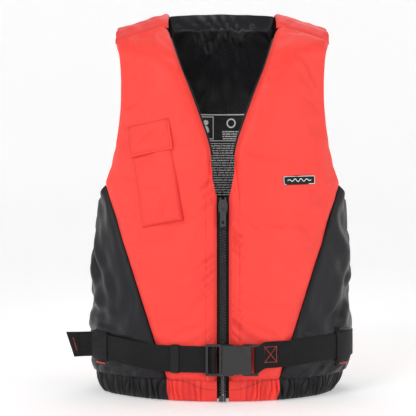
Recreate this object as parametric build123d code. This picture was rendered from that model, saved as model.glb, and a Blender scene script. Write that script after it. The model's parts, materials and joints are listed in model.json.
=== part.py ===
"""Waistcoat life jacket: foam panels in fabric shells, front zip, hem elastic, chest pocket and waist belt.

Millimetres. +Z is up, the front faces -Y and the wearer's left is +X. The origin is the centre of the hem
opening, on the plane that the hem rests on. "left" and "right" in names are the wearer's.
"""

import math
import os
from functools import lru_cache

from build123d import *

# ---------------------------------------------------------------- driving dimensions
# Torso form: an oval plan of four arcs, closed over the shoulders by a sloped arch.
HALF_WIDTH = 212.0
HALF_DEPTH = 145.0
SIDE_RADIUS = 100.0
SHOULDER_TOP = 617.0  # height of the shoulder line where it meets the neck
SHOULDER_SLOPE = 0.33
ARCH_DEPTH = 150.0  # a little over HALF_DEPTH, so that the arch starts above the chest
ARCH_RISE = 240.0
NECK_HALF_WIDTH = 94.0
NECK_BACK_Y = 60.0  # back neckline's middle, behind the shoulder ridge
NECK_SIDE_Y = 10.0  # where the back neckline meets the yokes

# Layers, counted inwards from the outer surface.
FABRIC = 1.2
LAYER_GAP = 0.3
FOAM_LAYER = 14.0
SEAM_GAP = 0.3

# Front view of the panels, as (distance from the centre line, height).
HEM_HEIGHT = 34.0
HEM_SEAM_X = 88.0
ARMPIT = (191.0, 337.0)
ARMHOLE_MID = (165.0, 470.0)
SHOULDER_TIP_X = 172.0
YOKE_DROP = 26.0  # how far the yoke seam lies under the shoulder line
BINDING = 3.0
SIDE_TOP_HEIGHT = 312.0
FOAM_EDGE_X = 20.0
NECK_EDGE = [(90.0, 591.0), (61.5, 505.0), (27.7, 410.0)]
V_FOOT = (20.0, 379.0)
PLACKET_TOP = (14.5, 338.0)

# Hem casing and its elastic.
HEM_INSET = 3.0
HEM_THICK = 6.0
ELASTIC_WIDTH = 25.0
ELASTIC_THICK = 1.6
ELASTIC_START_X = 26.0

# Zip.
ZIP_RECESS = 12.0  # tape plane behind the front of the panels
TAPE_EDGE_X = 9.0
TAPE_WIDTH = 16.0
TAPE_THICK = 0.8
ZIP_BOTTOM = 2.0
ZIP_TOP = 314.0
TOOTH_PITCH = 4.0
TOOTH_THICK = 4.0
CHAIN_HALF = 5.0
SLIDER_LENGTH = 19.0
SLIDER_HALF_TOP = 7.2
SLIDER_HALF_FOOT = 6.6
PLATE_THICK = 1.8
PULL_LENGTH = 33.0
PULL_WIDTH = 9.0
PULL_THICK = 2.0
PULL_PIN_RADIUS = 1.0
PIN_CLEARANCE = 0.08

# Belt.
WEBBING_WIDTH = 40.0
WEBBING_THICK = 1.6
BELT_STANDOFF = 2.6
PLY_GAP = 0.4
BUCKLE_Z = 68.0
BELT_RISE = 10.0  # the belt sits this much higher at the sides than at the buckle
LOOP_ANGLE = 34.0  # of the belt loops' middle, forward of the side
LOOP_HALF_ANGLE = 12.0
LOOP_HEIGHT = 61.0
LOOP_END = 8.0
LOOP_THICK = 1.4
TAIL_LENGTH = 56.0
TAIL_ANGLE = 25.0  # of the loose tail, backwards from straight out to the side
TAIL_SLANT = 14.0
TAIL_FOLD = 20.0
BOX_STITCH_END = 84.0  # distance from the centre line of the sewn strap's end
KEEPER_X = -66.7
KEEPER_WIDTH = 12.4
KEEPER_THICK = 1.3

# Side release buckle.
BUCKLE_HEIGHT = 48.0
BUCKLE_THICK = 12.0
BUCKLE_STANDOFF = 2.0
MOUTH_X = -2.0
FEMALE_LENGTH = 45.0
FEMALE_WALL = 1.9
RAIL = 3.6
BAR_WIDTH = 4.4
BAR_THICK = 3.2
BAR_SLOT = 6.0
CATCH_LENGTH = 18.0
CATCH_DEPTH = 4.7
SCOOP_LENGTH = 17.0
SCOOP_DEPTH = 4.0
PRONG_THICK = 6.0
PRONG_LENGTH = 30.5
BARB = 1.8

# Chest pocket, on the wearer's right front panel.
POCKET_AT = (-98.5, 326.0)  # middle of the length that shows under the flap
POCKET_LEAN = 9.7
POCKET_WIDTH = 70.0
POCKET_SHOWN = 108.0
POCKET_UNDER_FLAP = 20.0
POCKET_DEPTH = 12.0
POCKET_MOUTH_DEPTH = 7.5
FLAP_WIDTH = 75.0
FLAP_HEIGHT = 48.0
FLAP_THICK = 1.5
TAPE_PAD = (50.0, 14.0)
TAPE_PAD_THICK = 0.9

# Patches.
PATCH_SIZE = (51.0, 13.5)
PATCH_AT = (118.0, 341.0)
LABEL_SIZE = (120.0, 155.0)
LABEL_AT = (6.0, 392.0)
PATCH_THICK = 0.8

# ---------------------------------------------------------------- derived sizes
FAR = 400.0
ARC_CENTRE_X = HALF_WIDTH - SIDE_RADIUS
_rise = HALF_DEPTH - SIDE_RADIUS
ARC_CENTRE_Y = (ARC_CENTRE_X**2 - _rise**2) / (2 * _rise)
FRONT_RADIUS = ARC_CENTRE_Y + HALF_DEPTH
JOIN_ANGLE = math.atan2(ARC_CENTRE_X, ARC_CENTRE_Y)

FOAM_OUTER = FABRIC + LAYER_GAP
FOAM_INNER = FOAM_OUTER + FOAM_LAYER + LAYER_GAP
LINING = FOAM_INNER + FOAM_LAYER + LAYER_GAP
LINING_BACK = LINING + FABRIC
RIDGE_TOP = SHOULDER_TOP + SHOULDER_SLOPE * NECK_HALF_WIDTH

TAPE_Y = -HALF_DEPTH + ZIP_RECESS
INNER_PLY = BELT_STANDOFF + WEBBING_THICK / 2  # middle of the strap next to the jacket, out from the panels
OUTER_PLY = INNER_PLY + WEBBING_THICK + PLY_GAP
BUCKLE_Y = -HALF_DEPTH - BUCKLE_STANDOFF - BUCKLE_THICK / 2
WRAP = BAR_THICK / 2 + PLY_GAP + WEBBING_THICK / 2  # radius that the strap turns on, round a buckle's bar
SIDE_SPAN = 90.0 - math.degrees(JOIN_ANGLE)  # of a side arc, forward of its widest point
LOOP_REAR = LOOP_ANGLE - LOOP_HALF_ANGLE


def shoulder_line(x):
    """Height of the shoulder ridge at a distance x from the centre line."""
    return RIDGE_TOP - SHOULDER_SLOPE * abs(x)


def depth_at(x, offset=0.0):
    """Distance from the frontal plane to the oval's front at x, with the oval grown by offset."""
    if abs(x) <= (FRONT_RADIUS + offset) * math.sin(JOIN_ANGLE):
        return math.sqrt((FRONT_RADIUS + offset) ** 2 - x * x) - ARC_CENTRE_Y
    return math.sqrt(max((SIDE_RADIUS + offset) ** 2 - (abs(x) - ARC_CENTRE_X) ** 2, 0.0))


# ---------------------------------------------------------------- torso form and its layers
def oval(inset):
    """The plan's outline, moved inwards by inset."""
    front = FRONT_RADIUS - inset
    tx = front * math.sin(JOIN_ANGLE)
    ty = front * math.cos(JOIN_ANGLE) - ARC_CENTRE_Y
    wide, deep = HALF_WIDTH - inset, HALF_DEPTH - inset
    return make_face(
        Curve()
        + [
            ThreePointArc((-tx, -ty), (0, -deep), (tx, -ty)),
            ThreePointArc((tx, -ty), (wide, 0), (tx, ty)),
            ThreePointArc((tx, ty), (0, deep), (-tx, ty)),
            ThreePointArc((-tx, ty), (-wide, 0), (-tx, -ty)),
        ]
    )


@lru_cache(maxsize=None)
def prism(inset):
    """The oval as a tall column."""
    return Pos(0, 0, -FAR) * extrude(oval(inset), 3 * FAR)


@lru_cache(maxsize=None)
def arch(inset):
    """The side view of the torso, drawn outwards and downwards along each shoulder."""
    deep, rise = ARCH_DEPTH - inset, ARCH_RISE - inset
    spring = RIDGE_TOP - ARCH_RISE
    top = EllipticalCenterArc((0, spring), deep, rise, start_angle=0, arc_size=180)
    walls = Polyline((-deep, spring), (-deep, -FAR), (deep, -FAR), (deep, spring))
    profile = Plane.YZ * make_face(Curve() + [top, walls])
    reach = HALF_WIDTH + 60
    slope = Vector(1, 0, -SHOULDER_SLOPE)
    half = extrude(profile, reach * slope.length, dir=slope)
    return half + mirror(half, Plane.YZ)


@lru_cache(maxsize=None)
def torso(inset):
    """Everything inside the surface that lies inset under the outer one."""
    return prism(inset) & arch(inset)


@lru_cache(maxsize=None)
def layer(start, end):
    """The sheet of the torso form between two insets."""
    return torso(start) - torso(end)


def seen_from_front(outline, side, low=0.0, high=FAR):
    """A front-view outline drawn along Y, in the front half (side -1) or the back half (side 1)."""
    solid = extrude(Plane.XZ * outline, high - low)
    return Pos(0, -low, 0) * solid if side < 0 else Pos(0, high, 0) * solid


def side_of(shape, side):
    """The shape as drawn for the wearer's left (1), or mirrored for the right (-1)."""
    return shape if side > 0 else mirror(shape, Plane.YZ)


# ---------------------------------------------------------------- outlines, drawn for x > 0
def armhole_edge():
    tip = (SHOULDER_TIP_X, shoulder_line(SHOULDER_TIP_X) - YOKE_DROP)
    return ThreePointArc(ARMPIT, ARMHOLE_MID, tip)


def neckline():
    """Neck edge of the front foam panel: from the yoke down to the zip edge."""
    return [ThreePointArc(*NECK_EDGE), Line(NECK_EDGE[2], V_FOOT)]


def front_outline():
    """Front foam panel: zip edge, hem, side seam, armhole, yoke seam and neckline."""
    foot = HEM_HEIGHT + SEAM_GAP
    arm = armhole_edge()
    zip_edge = Polyline(V_FOOT, (FOAM_EDGE_X, foot), (HEM_SEAM_X, foot), ARMPIT)
    return make_face(Curve() + [zip_edge, arm, Line(arm @ 1, NECK_EDGE[0]), *neckline()])


def back_outline():
    """Back foam panel, both halves in one, up to above the neckline."""
    foot = HEM_HEIGHT + SEAM_GAP
    arm = armhole_edge()
    neck_x, seam_z = NECK_EDGE[0]
    low = Polyline((0, foot), (HEM_SEAM_X, foot), ARMPIT)
    high = Polyline(arm @ 1, (neck_x, seam_z), (neck_x, RIDGE_TOP + 20), (0, RIDGE_TOP + 20), (0, foot))
    half = make_face(Curve() + [low, arm, high])
    return half + mirror(half, Plane.YZ)


def neck_hole(gap):
    """The back neckline seen from above, cut straight down; gap widens it."""
    side, back = NECK_EDGE[0][0] + gap, NECK_BACK_Y + gap
    curve = ThreePointArc((side, NECK_SIDE_Y + gap), (0, back), (-side, NECK_SIDE_Y + gap))
    front = Polyline(curve @ 1, (-side, -back), (side, -back), curve @ 0)
    return extrude(make_face(Curve() + [curve, front]), 3 * FAR)


def side_outline(gap):
    """Side panel, from the hem to the armhole, set back from both seams by gap."""
    return make_face(
        Polyline(
            (HEM_SEAM_X + gap, HEM_HEIGHT + SEAM_GAP),
            (ARMPIT[0] + gap, ARMPIT[1]),
            (HALF_WIDTH + 40, SIDE_TOP_HEIGHT),
            (HALF_WIDTH + 40, HEM_HEIGHT + SEAM_GAP),
            close=True,
        )
    )


def yoke_outline(inner_x, gap):
    """Shoulder yoke over the ridge, between the neck and the armhole."""
    tip_x = SHOULDER_TIP_X
    return make_face(
        Polyline(
            (inner_x, NECK_EDGE[0][1] + gap),
            (inner_x, shoulder_line(0) + 20),
            (tip_x, shoulder_line(0) + 20),
            (tip_x, shoulder_line(tip_x) - YOKE_DROP + gap),
            close=True,
        )
    )


# ---------------------------------------------------------------- foam panels
def stuffed_panel(column):
    """A panel's fabric tray, its foam layers and its lining; column(gap) is its outline set in by gap."""
    whole, hollow, stuffing = column(0), column(FABRIC), column(FABRIC + LAYER_GAP)
    return {
        "shell": (layer(0, LINING) & whole) - (layer(FABRIC, LINING + 5) & hollow),
        "foam_outer": layer(FOAM_OUTER, FOAM_OUTER + FOAM_LAYER) & stuffing,
        "foam_inner": layer(FOAM_INNER, FOAM_INNER + FOAM_LAYER) & stuffing,
        "lining": layer(LINING, LINING_BACK) & whole,
    }


def set_in(outline, gap):
    return offset(outline, -gap, kind=Kind.INTERSECTION) if gap else outline


def front_panels():
    made = stuffed_panel(lambda gap: seen_from_front(set_in(front_outline(), gap), -1))
    parts = {}
    for name, side in (("left", 1), ("right", -1)):
        parts.update({f"front_{piece}_{name}": side_of(shape, side) for piece, shape in made.items()})
    return parts


def back_panel():
    def column(gap):
        return seen_from_front(set_in(back_outline(), gap), 1) - neck_hole(gap)

    return {f"back_{piece}": shape for piece, shape in stuffed_panel(column).items()}


def side_panels():
    parts = {}
    skin = layer(0, FABRIC)
    lining = layer(FABRIC + LAYER_GAP, 2 * FABRIC + LAYER_GAP)
    through = extrude(Plane.XZ * side_outline(SEAM_GAP), FAR, both=True)
    for name, side in (("left", 1), ("right", -1)):
        parts[f"side_panel_{name}"] = side_of(skin & through, side)
        parts[f"side_lining_{name}"] = side_of(lining & through, side)
    return parts


def shoulder_yokes():
    parts = {}
    front = seen_from_front(yoke_outline(NECK_EDGE[0][0], SEAM_GAP), -1)
    back = seen_from_front(yoke_outline(NECK_EDGE[0][0] + SEAM_GAP, SEAM_GAP), 1)
    for name, side in (("left", 1), ("right", -1)):
        over = front + back
        parts[f"shoulder_yoke_{name}"] = side_of(layer(0, FABRIC) & over, side)
        lining = layer(FABRIC + LAYER_GAP, 2 * FABRIC + LAYER_GAP) & over
        parts[f"shoulder_lining_{name}"] = side_of(lining, side)
    return parts


# ---------------------------------------------------------------- edge bindings
def strip_beside(edges, shift):
    """The front-view strip between edges and the same edges moved sideways by shift."""
    moved = [Pos(shift, 0, 0) * edge for edge in edges]
    ends = [Line(edges[0] @ 0, moved[0] @ 0), Line(edges[-1] @ 1, moved[-1] @ 1)]
    return make_face(Curve() + [*edges, *moved, *ends])


def bindings():
    """Piping along the neckline and the armholes, on the body side of each edge."""
    cord = layer(LINING - BINDING, LINING)
    neck = cord & seen_from_front(strip_beside(neckline(), -BINDING), -1)
    arm = strip_beside([armhole_edge()], BINDING)
    arms = cord & (seen_from_front(arm, -1) + seen_from_front(arm, 1))
    parts = {}
    for name, side in (("left", 1), ("right", -1)):
        parts[f"neck_binding_{name}"] = side_of(neck, side)
        parts[f"armhole_binding_{name}"] = side_of(arms, side)
    return parts


# ---------------------------------------------------------------- hem
def hem():
    """Hem casing in five lengths, with the elastic running through all but the zip ends."""
    ring = (prism(HEM_INSET) - prism(HEM_INSET + HEM_THICK)) & box_between((-FAR, -FAR, 0), (FAR, FAR, HEM_HEIGHT))
    middle = HEM_INSET + HEM_THICK / 2
    low = (HEM_HEIGHT - ELASTIC_WIDTH) / 2

    def band(half_thick, ease):
        tube = prism(middle - half_thick) - prism(middle + half_thick)
        tall = box_between((-FAR, -FAR, low - ease), (FAR, FAR, low + ELASTIC_WIDTH + ease))
        gap = box_between((-ELASTIC_START_X + ease, -FAR, -FAR), (ELASTIC_START_X - ease, 0, FAR))
        return (tube & tall) - gap

    elastic = band(ELASTIC_THICK / 2, 0.0)
    casing = ring - band(ELASTIC_THICK / 2 + LAYER_GAP, LAYER_GAP)
    seam = HEM_SEAM_X + SEAM_GAP
    edge = TAPE_EDGE_X
    pieces = {
        "hem_front_left": box_between((edge, -FAR, -1), (HEM_SEAM_X, 0, FAR)),
        "hem_front_right": box_between((-HEM_SEAM_X, -FAR, -1), (-edge, 0, FAR)),
        "hem_side_left": box_between((seam, -FAR, -1), (FAR, FAR, FAR)),
        "hem_side_right": box_between((-FAR, -FAR, -1), (-seam, FAR, FAR)),
        "hem_back": box_between((-HEM_SEAM_X, 0, -1), (HEM_SEAM_X, FAR, FAR)),
    }
    parts = {name: casing & block for name, block in pieces.items()}
    parts["hem_elastic"] = elastic
    return parts


def box_between(low, high):
    """A box from its lowest corner to its highest."""
    size = [h - l for l, h in zip(low, high, strict=True)]
    return Pos(*low) * Box(*size, align=(Align.MIN,) * 3)


# ---------------------------------------------------------------- zip
def zip_fly():
    """Plackets, tapes, teeth, stops, box and pin, all still."""
    parts = {}
    wall = FOAM_EDGE_X - SEAM_GAP
    placket = make_face(
        Polyline(
            (TAPE_EDGE_X, HEM_HEIGHT + SEAM_GAP),
            (wall, HEM_HEIGHT + SEAM_GAP),
            (wall, V_FOOT[1]),
            PLACKET_TOP,
            (TAPE_EDGE_X, ZIP_TOP),
            close=True,
        )
    )
    front = -TAPE_Y + LAYER_GAP
    for name, side in (("left", 1), ("right", -1)):
        cloth = seen_from_front(placket, -1, low=front, high=front + FABRIC)
        parts[f"placket_{name}"] = side_of(cloth, side)
        near = CHAIN_HALF - 3.0
        tape = box_between((near, TAPE_Y, ZIP_BOTTOM), (near + TAPE_WIDTH, TAPE_Y + TAPE_THICK, ZIP_TOP))
        parts[f"zip_tape_{name}"] = side_of(tape, side)

    first, last = ZIP_BOTTOM + 12.0, ZIP_TOP - SLIDER_LENGTH - 3.0
    count = int((last - first) / TOOTH_PITCH)
    for name, side in (("left", 1), ("right", -1)):
        shift = 0.0 if side > 0 else TOOTH_PITCH / 2
        row = [Pos(0, 0, first + shift + k * TOOTH_PITCH) * side_of(tooth(), side) for k in range(count)]
        parts[f"zip_teeth_{name}"] = Compound(row)

    back = TAPE_Y - 0.1
    stop = box_between((2.4, back - TOOTH_THICK + 1, ZIP_TOP - 3), (CHAIN_HALF, back, ZIP_TOP))
    parts["zip_top_stops"] = Compound([stop, mirror(stop, Plane.YZ)])
    front = back - TOOTH_THICK
    parts["zip_box"] = box_between((-CHAIN_HALF - 1, front - 0.6, ZIP_BOTTOM), (0.6, back, ZIP_BOTTOM + 9))
    parts["zip_pin"] = box_between((1.0, front + 0.6, ZIP_BOTTOM), (CHAIN_HALF - 0.6, back, ZIP_BOTTOM + 10.4))
    return parts


def tooth():
    """One moulded tooth of the left chain: a block on the tape and a head that reaches over the centre."""
    back = TAPE_Y - 0.1
    block = box_between((1.7, back - TOOTH_THICK, -1.4), (CHAIN_HALF, back, 1.4))
    head = box_between((-1.3, back - TOOTH_THICK + 0.7, -0.8), (1.7, back - 0.7, 0.8))
    return block + head


def slider_axis():
    """Height and depth of the pin that the pull hangs from."""
    top = TAPE_Y - 0.1 - TOOTH_THICK - LAYER_GAP - PLATE_THICK
    return ZIP_TOP - 3.4 - SLIDER_LENGTH / 2, top - 2.1


def slider():
    """Slider body: two plates, the wedge between them, side flanges and the bridge for the pull."""
    foot = ZIP_TOP - 3.4 - SLIDER_LENGTH
    head = foot + SLIDER_LENGTH
    teeth_back = TAPE_Y - 0.1
    front_plate = teeth_back - TOOTH_THICK - LAYER_GAP
    outline = make_face(
        Polyline(
            (-SLIDER_HALF_FOOT, foot),
            (SLIDER_HALF_FOOT, foot),
            (SLIDER_HALF_TOP, head - 7),
            (SLIDER_HALF_TOP - 2.5, head),
            (-SLIDER_HALF_TOP + 2.5, head),
            (-SLIDER_HALF_TOP, head - 7),
            close=True,
        )
    )
    front = seen_from_front(outline, -1, low=-front_plate, high=-front_plate + PLATE_THICK)
    rear_y = TAPE_Y + TAPE_THICK + LAYER_GAP
    rear = seen_from_front(outline, -1, low=-rear_y - PLATE_THICK, high=-rear_y)
    wedge = box_between((-1.7, front_plate - 0.5, head - 3.2), (1.7, rear_y + 0.5, head))
    flange_x = CHAIN_HALF + LAYER_GAP
    flange = box_between((flange_x, front_plate - 0.5, foot), (SLIDER_HALF_FOOT, TAPE_Y - LAYER_GAP, head - 8))
    pin_z, pin_y = slider_axis()
    bridge = box_between((-1.7, pin_y - 2.2, pin_z - 4.5), (1.7, front_plate - 0.5, pin_z + 4.5))
    bridge = fillet(bridge.edges().filter_by(Axis.X).group_by(Axis.Y)[0], 2.0)
    hole = Pos(0, pin_y, pin_z) * Rot(0, 90, 0) * Cylinder(PULL_PIN_RADIUS + PIN_CLEARANCE, 10)
    return front + rear + wedge + flange + mirror(flange, Plane.YZ) + bridge - hole


def pull():
    """Pull tab, hanging from a pin through the slider's bridge."""
    pin_z, pin_y = slider_axis()
    half = PULL_WIDTH / 2
    plate = Pos(0, pin_y, pin_z + 1.4 - PULL_LENGTH / 2) * Box(PULL_WIDTH, PULL_THICK, PULL_LENGTH)
    plate = fillet(plate.edges().filter_by(Axis.Y), 1.2)
    notch = Pos(0, pin_y, pin_z - 1.0) * Box(4.4, 10, 12.6)
    window = Pos(0, pin_y, pin_z - PULL_LENGTH + 8.0) * Box(3.6, 10, 5.0)
    pin = Pos(0, pin_y, pin_z) * Rot(0, 90, 0) * Cylinder(PULL_PIN_RADIUS, half + 1)
    return plate - notch - window + pin


# ---------------------------------------------------------------- belt
def belt_height(x):
    """Height of the belt's middle at x: level behind the buckle, then rising to the sides."""
    return BUCKLE_Z + BELT_RISE * min(max((abs(x) - 100.0) / 85.0, 0.0), 1.0)


def belt_band():
    """The belt's width seen from the front, drawn along Y through the whole jacket."""
    half = WEBBING_WIDTH / 2
    stations = (-FAR, -185.0, -100.0, 100.0, 185.0, FAR)
    top = [(x, belt_height(x) + half) for x in stations]
    foot = [(x, belt_height(x) - half) for x in reversed(stations)]
    front = seen_from_front(make_face(Polyline(*top, *foot, close=True)), -1)
    level = belt_height(FAR)
    return front + box_between((-FAR, 0, level - half), (FAR, FAR, level + half))


def on_front(angle, radius, side):
    """Point on the front arc, at an angle from the centre line towards side."""
    return (side * radius * math.sin(angle), ARC_CENTRE_Y - radius * math.cos(angle))


def on_side(degrees, radius, side):
    """Point on a side arc, at degrees forward of the widest point."""
    turn = math.radians(degrees)
    return (side * (ARC_CENTRE_X + radius * math.cos(turn)), -radius * math.sin(turn))


def front_run(point, ply, side):
    """A ply's middle from a point at the buckle: straight until it meets the front arc, then along it."""
    radius = FRONT_RADIUS + ply
    dx, dy = abs(point.X), ARC_CENTRE_Y - point.Y
    angle = math.atan2(dx, dy) + math.acos(radius / math.hypot(dx, dy))
    stations = [on_front(a, radius, side) for a in (angle, (angle + JOIN_ANGLE) / 2, JOIN_ANGLE)]
    return [Line(point, stations[0]), ThreePointArc(*stations)]


def side_run(ply, side, start, end):
    """A ply's middle along a side arc, between two angles forward of the widest point."""
    return ThreePointArc(*[on_side(a, SIDE_RADIUS + ply, side) for a in (start, (start + end) / 2, end)])


def bar_turn(bar_x, side):
    """Half a turn of strap round the bar at bar_x, from the back ply to the front one, on the bar's side."""
    middle = bar_x + side * 0.6
    back, front = BUCKLE_Y + WRAP, BUCKLE_Y - WRAP
    return ThreePointArc((middle, back), (middle + side * WRAP, BUCKLE_Y), (middle, front))


def webbing(edges):
    """Strap of the webbing's thickness along plan edges, as tall as the belt's band."""
    flat = Sketch()
    for edge in edges:
        flat += trace(edge, WEBBING_THICK)
    for before, after in zip(edges, edges[1:], strict=False):
        if abs((before % 1).get_angle(after % 0)) > 1.0:
            flat += Pos(before @ 1) * Circle(WEBBING_THICK / 2)
    return extrude(flat, BUCKLE_Z + 3 * WEBBING_WIDTH) & belt_band()


def sewn_strap():
    """From the sewn end, round the female bar, round the left side and the back, to the right-hand loop."""
    turn = bar_turn(female_bar_x(), -1)
    straight, arc = front_run(turn @ 0, INNER_PLY, 1)
    along = straight % 0
    outwards = Vector(along.Y, -along.X) * (OUTER_PLY - INNER_PLY)
    lap_end = straight @ ((BOX_STITCH_END - (straight @ 0).X) / (straight @ 1 - straight @ 0).X) + outwards
    lap_start = straight @ 0.25 + outwards
    over_bar = (turn @ 1) + Vector(2.2, 0)
    lap = Polyline(lap_end, lap_start, over_bar, turn @ 1).edges()
    left = side_run(INNER_PLY, 1, SIDE_SPAN, -SIDE_SPAN)
    back = ThreePointArc(left @ 1, (0, HALF_DEPTH + INNER_PLY), on_side(-SIDE_SPAN, SIDE_RADIUS + INNER_PLY, -1))
    right = side_run(INNER_PLY, -1, -SIDE_SPAN, LOOP_ANGLE - LAYER_GAP)
    return webbing([*lap, turn, straight, arc, left, back, right])


def adjustable_strap():
    """From the right-hand loop, round the male buckle's middle bar, and back through the loop as the tail."""
    bar, outer_bar = male_bar_xs()
    turn = bar_turn(bar, 1)
    straight, arc = front_run(turn @ 0, INNER_PLY, -1)
    side = side_run(INNER_PLY, -1, SIDE_SPAN, LOOP_ANGLE + LAYER_GAP)
    leave = Vector(bar - 2.2, BUCKLE_Y - WRAP)
    under = Vector(bar - 7.4, BUCKLE_Y + WRAP)
    clear = Vector(outer_bar - BAR_WIDTH, BUCKLE_Y + WRAP)
    down = Polyline(turn @ 1, leave, under, clear).edges()
    tail = front_run(clear, OUTER_PLY, -1)
    tail_side = side_run(OUTER_PLY, -1, SIDE_SPAN, LOOP_REAR - 1.0)
    return webbing([side, arc, straight, turn, *down, *tail, tail_side])


def tail_hinge():
    """Plan point at the loop's mouth that the loose tail bends about."""
    return Vector(*on_side(LOOP_REAR - 1.5, SIDE_RADIUS + OUTER_PLY, -1))


def loose_tail():
    """The strap's free end, folded over itself and cut at a slant."""
    turn = math.radians(TAIL_ANGLE)
    along, out = Vector(-math.cos(turn), math.sin(turn)), Vector(-math.sin(turn), -math.cos(turn))
    start, end = tail_hinge() + along * 0.7, tail_hinge() + along * TAIL_LENGTH
    fold = out * WEBBING_THICK
    flat = trace(Line(start, end), WEBBING_THICK) + trace(Line(end - along * TAIL_FOLD + fold, end + fold), WEBBING_THICK)
    half, middle = WEBBING_WIDTH / 2, belt_height(start.X)
    corners = [(FAR, middle + half), (end.X - 5, middle + half), (end.X + TAIL_SLANT, middle - half), (FAR, middle - half)]
    slanted = Plane.XZ * make_face(Polyline(*[(min(x, 0), z) for x, z in corners], close=True))
    return extrude(flat, FAR) & extrude(slanted, FAR, both=True)


def keeper():
    """Flat ring round both plies of the adjustable strap."""
    back = FRONT_RADIUS + INNER_PLY - WEBBING_THICK / 2 - PLY_GAP
    front = FRONT_RADIUS + OUTER_PLY + WEBBING_THICK / 2 + PLY_GAP
    half, wide = WEBBING_WIDTH / 2 + PLY_GAP, KEEPER_WIDTH / 2
    window = box_between((-wide - 1, -front, BUCKLE_Z - half), (wide + 1, -back, BUCKLE_Z + half))
    low = (-wide, -front - KEEPER_THICK, BUCKLE_Z - half - KEEPER_THICK)
    high = (wide, -back + KEEPER_THICK, BUCKLE_Z + half + KEEPER_THICK)
    ring = box_between(low, high) - window
    angle = math.degrees(math.asin(KEEPER_X / (FRONT_RADIUS + INNER_PLY)))
    return Pos(0, ARC_CENTRE_Y, 0) * Rot(0, 0, angle) * ring


def belt_loop(side, plies):
    """Vertical loop over the belt on a side panel: a bridge with a sewn end above and below."""
    near = plies + WEBBING_THICK / 2 + PLY_GAP
    rear, front = LOOP_REAR, LOOP_ANGLE + LOOP_HALF_ANGLE
    corners = [(side * ARC_CENTRE_X, 0), on_side(rear, FAR, side), on_side(front, FAR, side)]
    sector = extrude(make_face(Polyline(*corners, close=True)), FAR)
    middle = belt_height(FAR) + 0.5
    low, high = middle - LOOP_HEIGHT / 2, middle + LOOP_HEIGHT / 2
    outside = prism(-near - LOOP_THICK)
    bridge = outside - prism(-near)
    ends = outside - prism(0)
    tall = box_between((-FAR, -FAR, low), (FAR, FAR, high))
    window = box_between((-FAR, -FAR, low + LOOP_END), (FAR, FAR, high - LOOP_END))
    return sector & ((bridge & window) + ((ends & tall) - window))


def belt():
    return {
        "belt_webbing": sewn_strap(),
        "belt_front_run": adjustable_strap(),
        "belt_tail_end": loose_tail(),
        "belt_keeper": keeper(),
        "belt_loop_left": belt_loop(1, INNER_PLY),
        "belt_loop_right": belt_loop(-1, OUTER_PLY),
    }


# ---------------------------------------------------------------- buckle
def female_bar_x():
    return MOUTH_X + FEMALE_LENGTH + BAR_SLOT + BAR_WIDTH / 2


def male_bar_xs():
    """Middle and outer bars of the male half's ladder."""
    middle = MOUTH_X - LAYER_GAP - RAIL - BAR_SLOT - BAR_WIDTH / 2
    return middle, middle - BAR_WIDTH - BAR_SLOT


def buckle_block(x0, x1, z0, z1, thick):
    """A box centred on the buckle's plane, with heights counted from the buckle's middle."""
    return box_between((x0, BUCKLE_Y - thick / 2, BUCKLE_Z + z0), (x1, BUCKLE_Y + thick / 2, BUCKLE_Z + z1))


def strap_bar(x):
    """A rounded bar that the strap turns round."""
    bar = buckle_block(x - BAR_WIDTH / 2, x + BAR_WIDTH / 2, -BUCKLE_HEIGHT / 2 + 1, BUCKLE_HEIGHT / 2 - 1, BAR_THICK)
    return fillet(bar.edges().filter_by(Axis.Z), 1.4)


def rails(x0, x1, thick):
    """The two edges of a buckle half, above and below the strap."""
    half = BUCKLE_HEIGHT / 2
    return buckle_block(x0, x1, half - RAIL, half, thick) + buckle_block(x0, x1, -half, -half + RAIL, thick)


def female_buckle():
    """Female half: a flat box open at its mouth, with scooped edges where the prongs show."""
    half = BUCKLE_HEIGHT / 2
    end = MOUTH_X + FEMALE_LENGTH
    body = buckle_block(MOUTH_X, end, -half, half, BUCKLE_THICK)
    body = fillet(body.edges().filter_by(Axis.Y), 3.0)
    body = fillet(body.edges().filter_by(Axis.X), 3.0)
    hollow = BUCKLE_THICK - 2 * FEMALE_WALL
    catch = half - CATCH_DEPTH
    cavity = buckle_block(MOUTH_X - 1, end - FEMALE_WALL, -catch, catch, hollow)
    window_x = MOUTH_X + CATCH_LENGTH
    window = buckle_block(window_x, window_x + SCOOP_LENGTH - 3, -half - 1, half + 1, hollow)
    scoops = []
    middle = window_x + SCOOP_LENGTH / 2 - 1.5
    radius = (SCOOP_LENGTH**2 / 4 + SCOOP_DEPTH**2) / (2 * SCOOP_DEPTH)
    for sign in (1, -1):
        z = BUCKLE_Z + sign * (half - SCOOP_DEPTH + radius)
        scoops.append(Pos(middle, BUCKLE_Y, z) * Rot(90, 0, 0) * Cylinder(radius, BUCKLE_THICK + 2))
    bar_x = female_bar_x()
    frame = rails(end - 3, bar_x + BAR_WIDTH / 2, 2 * WRAP) + strap_bar(bar_x)
    return body - cavity - window - scoops[0] - scoops[1] + frame


def male_buckle():
    """Male half: the strap ladder and the guide tongue between the prongs."""
    middle, outer = male_bar_xs()
    half = BUCKLE_HEIGHT / 2
    root = MOUTH_X - LAYER_GAP
    frame = rails(outer - BAR_WIDTH / 2, root, 2 * WRAP)
    frame = fillet(frame.edges().filter_by(Axis.Y).group_by(Axis.X)[0], 1.6)
    base = buckle_block(root - RAIL, root, -half, half, 2 * WRAP)
    tongue = buckle_block(root - 1, root + PRONG_LENGTH - 4, -3.2, 3.2, 4.0)
    tongue = fillet(tongue.edges().filter_by(Axis.Y).group_by(Axis.X)[-1], 2.4)
    return frame + base + tongue + strap_bar(middle) + strap_bar(outer)


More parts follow.
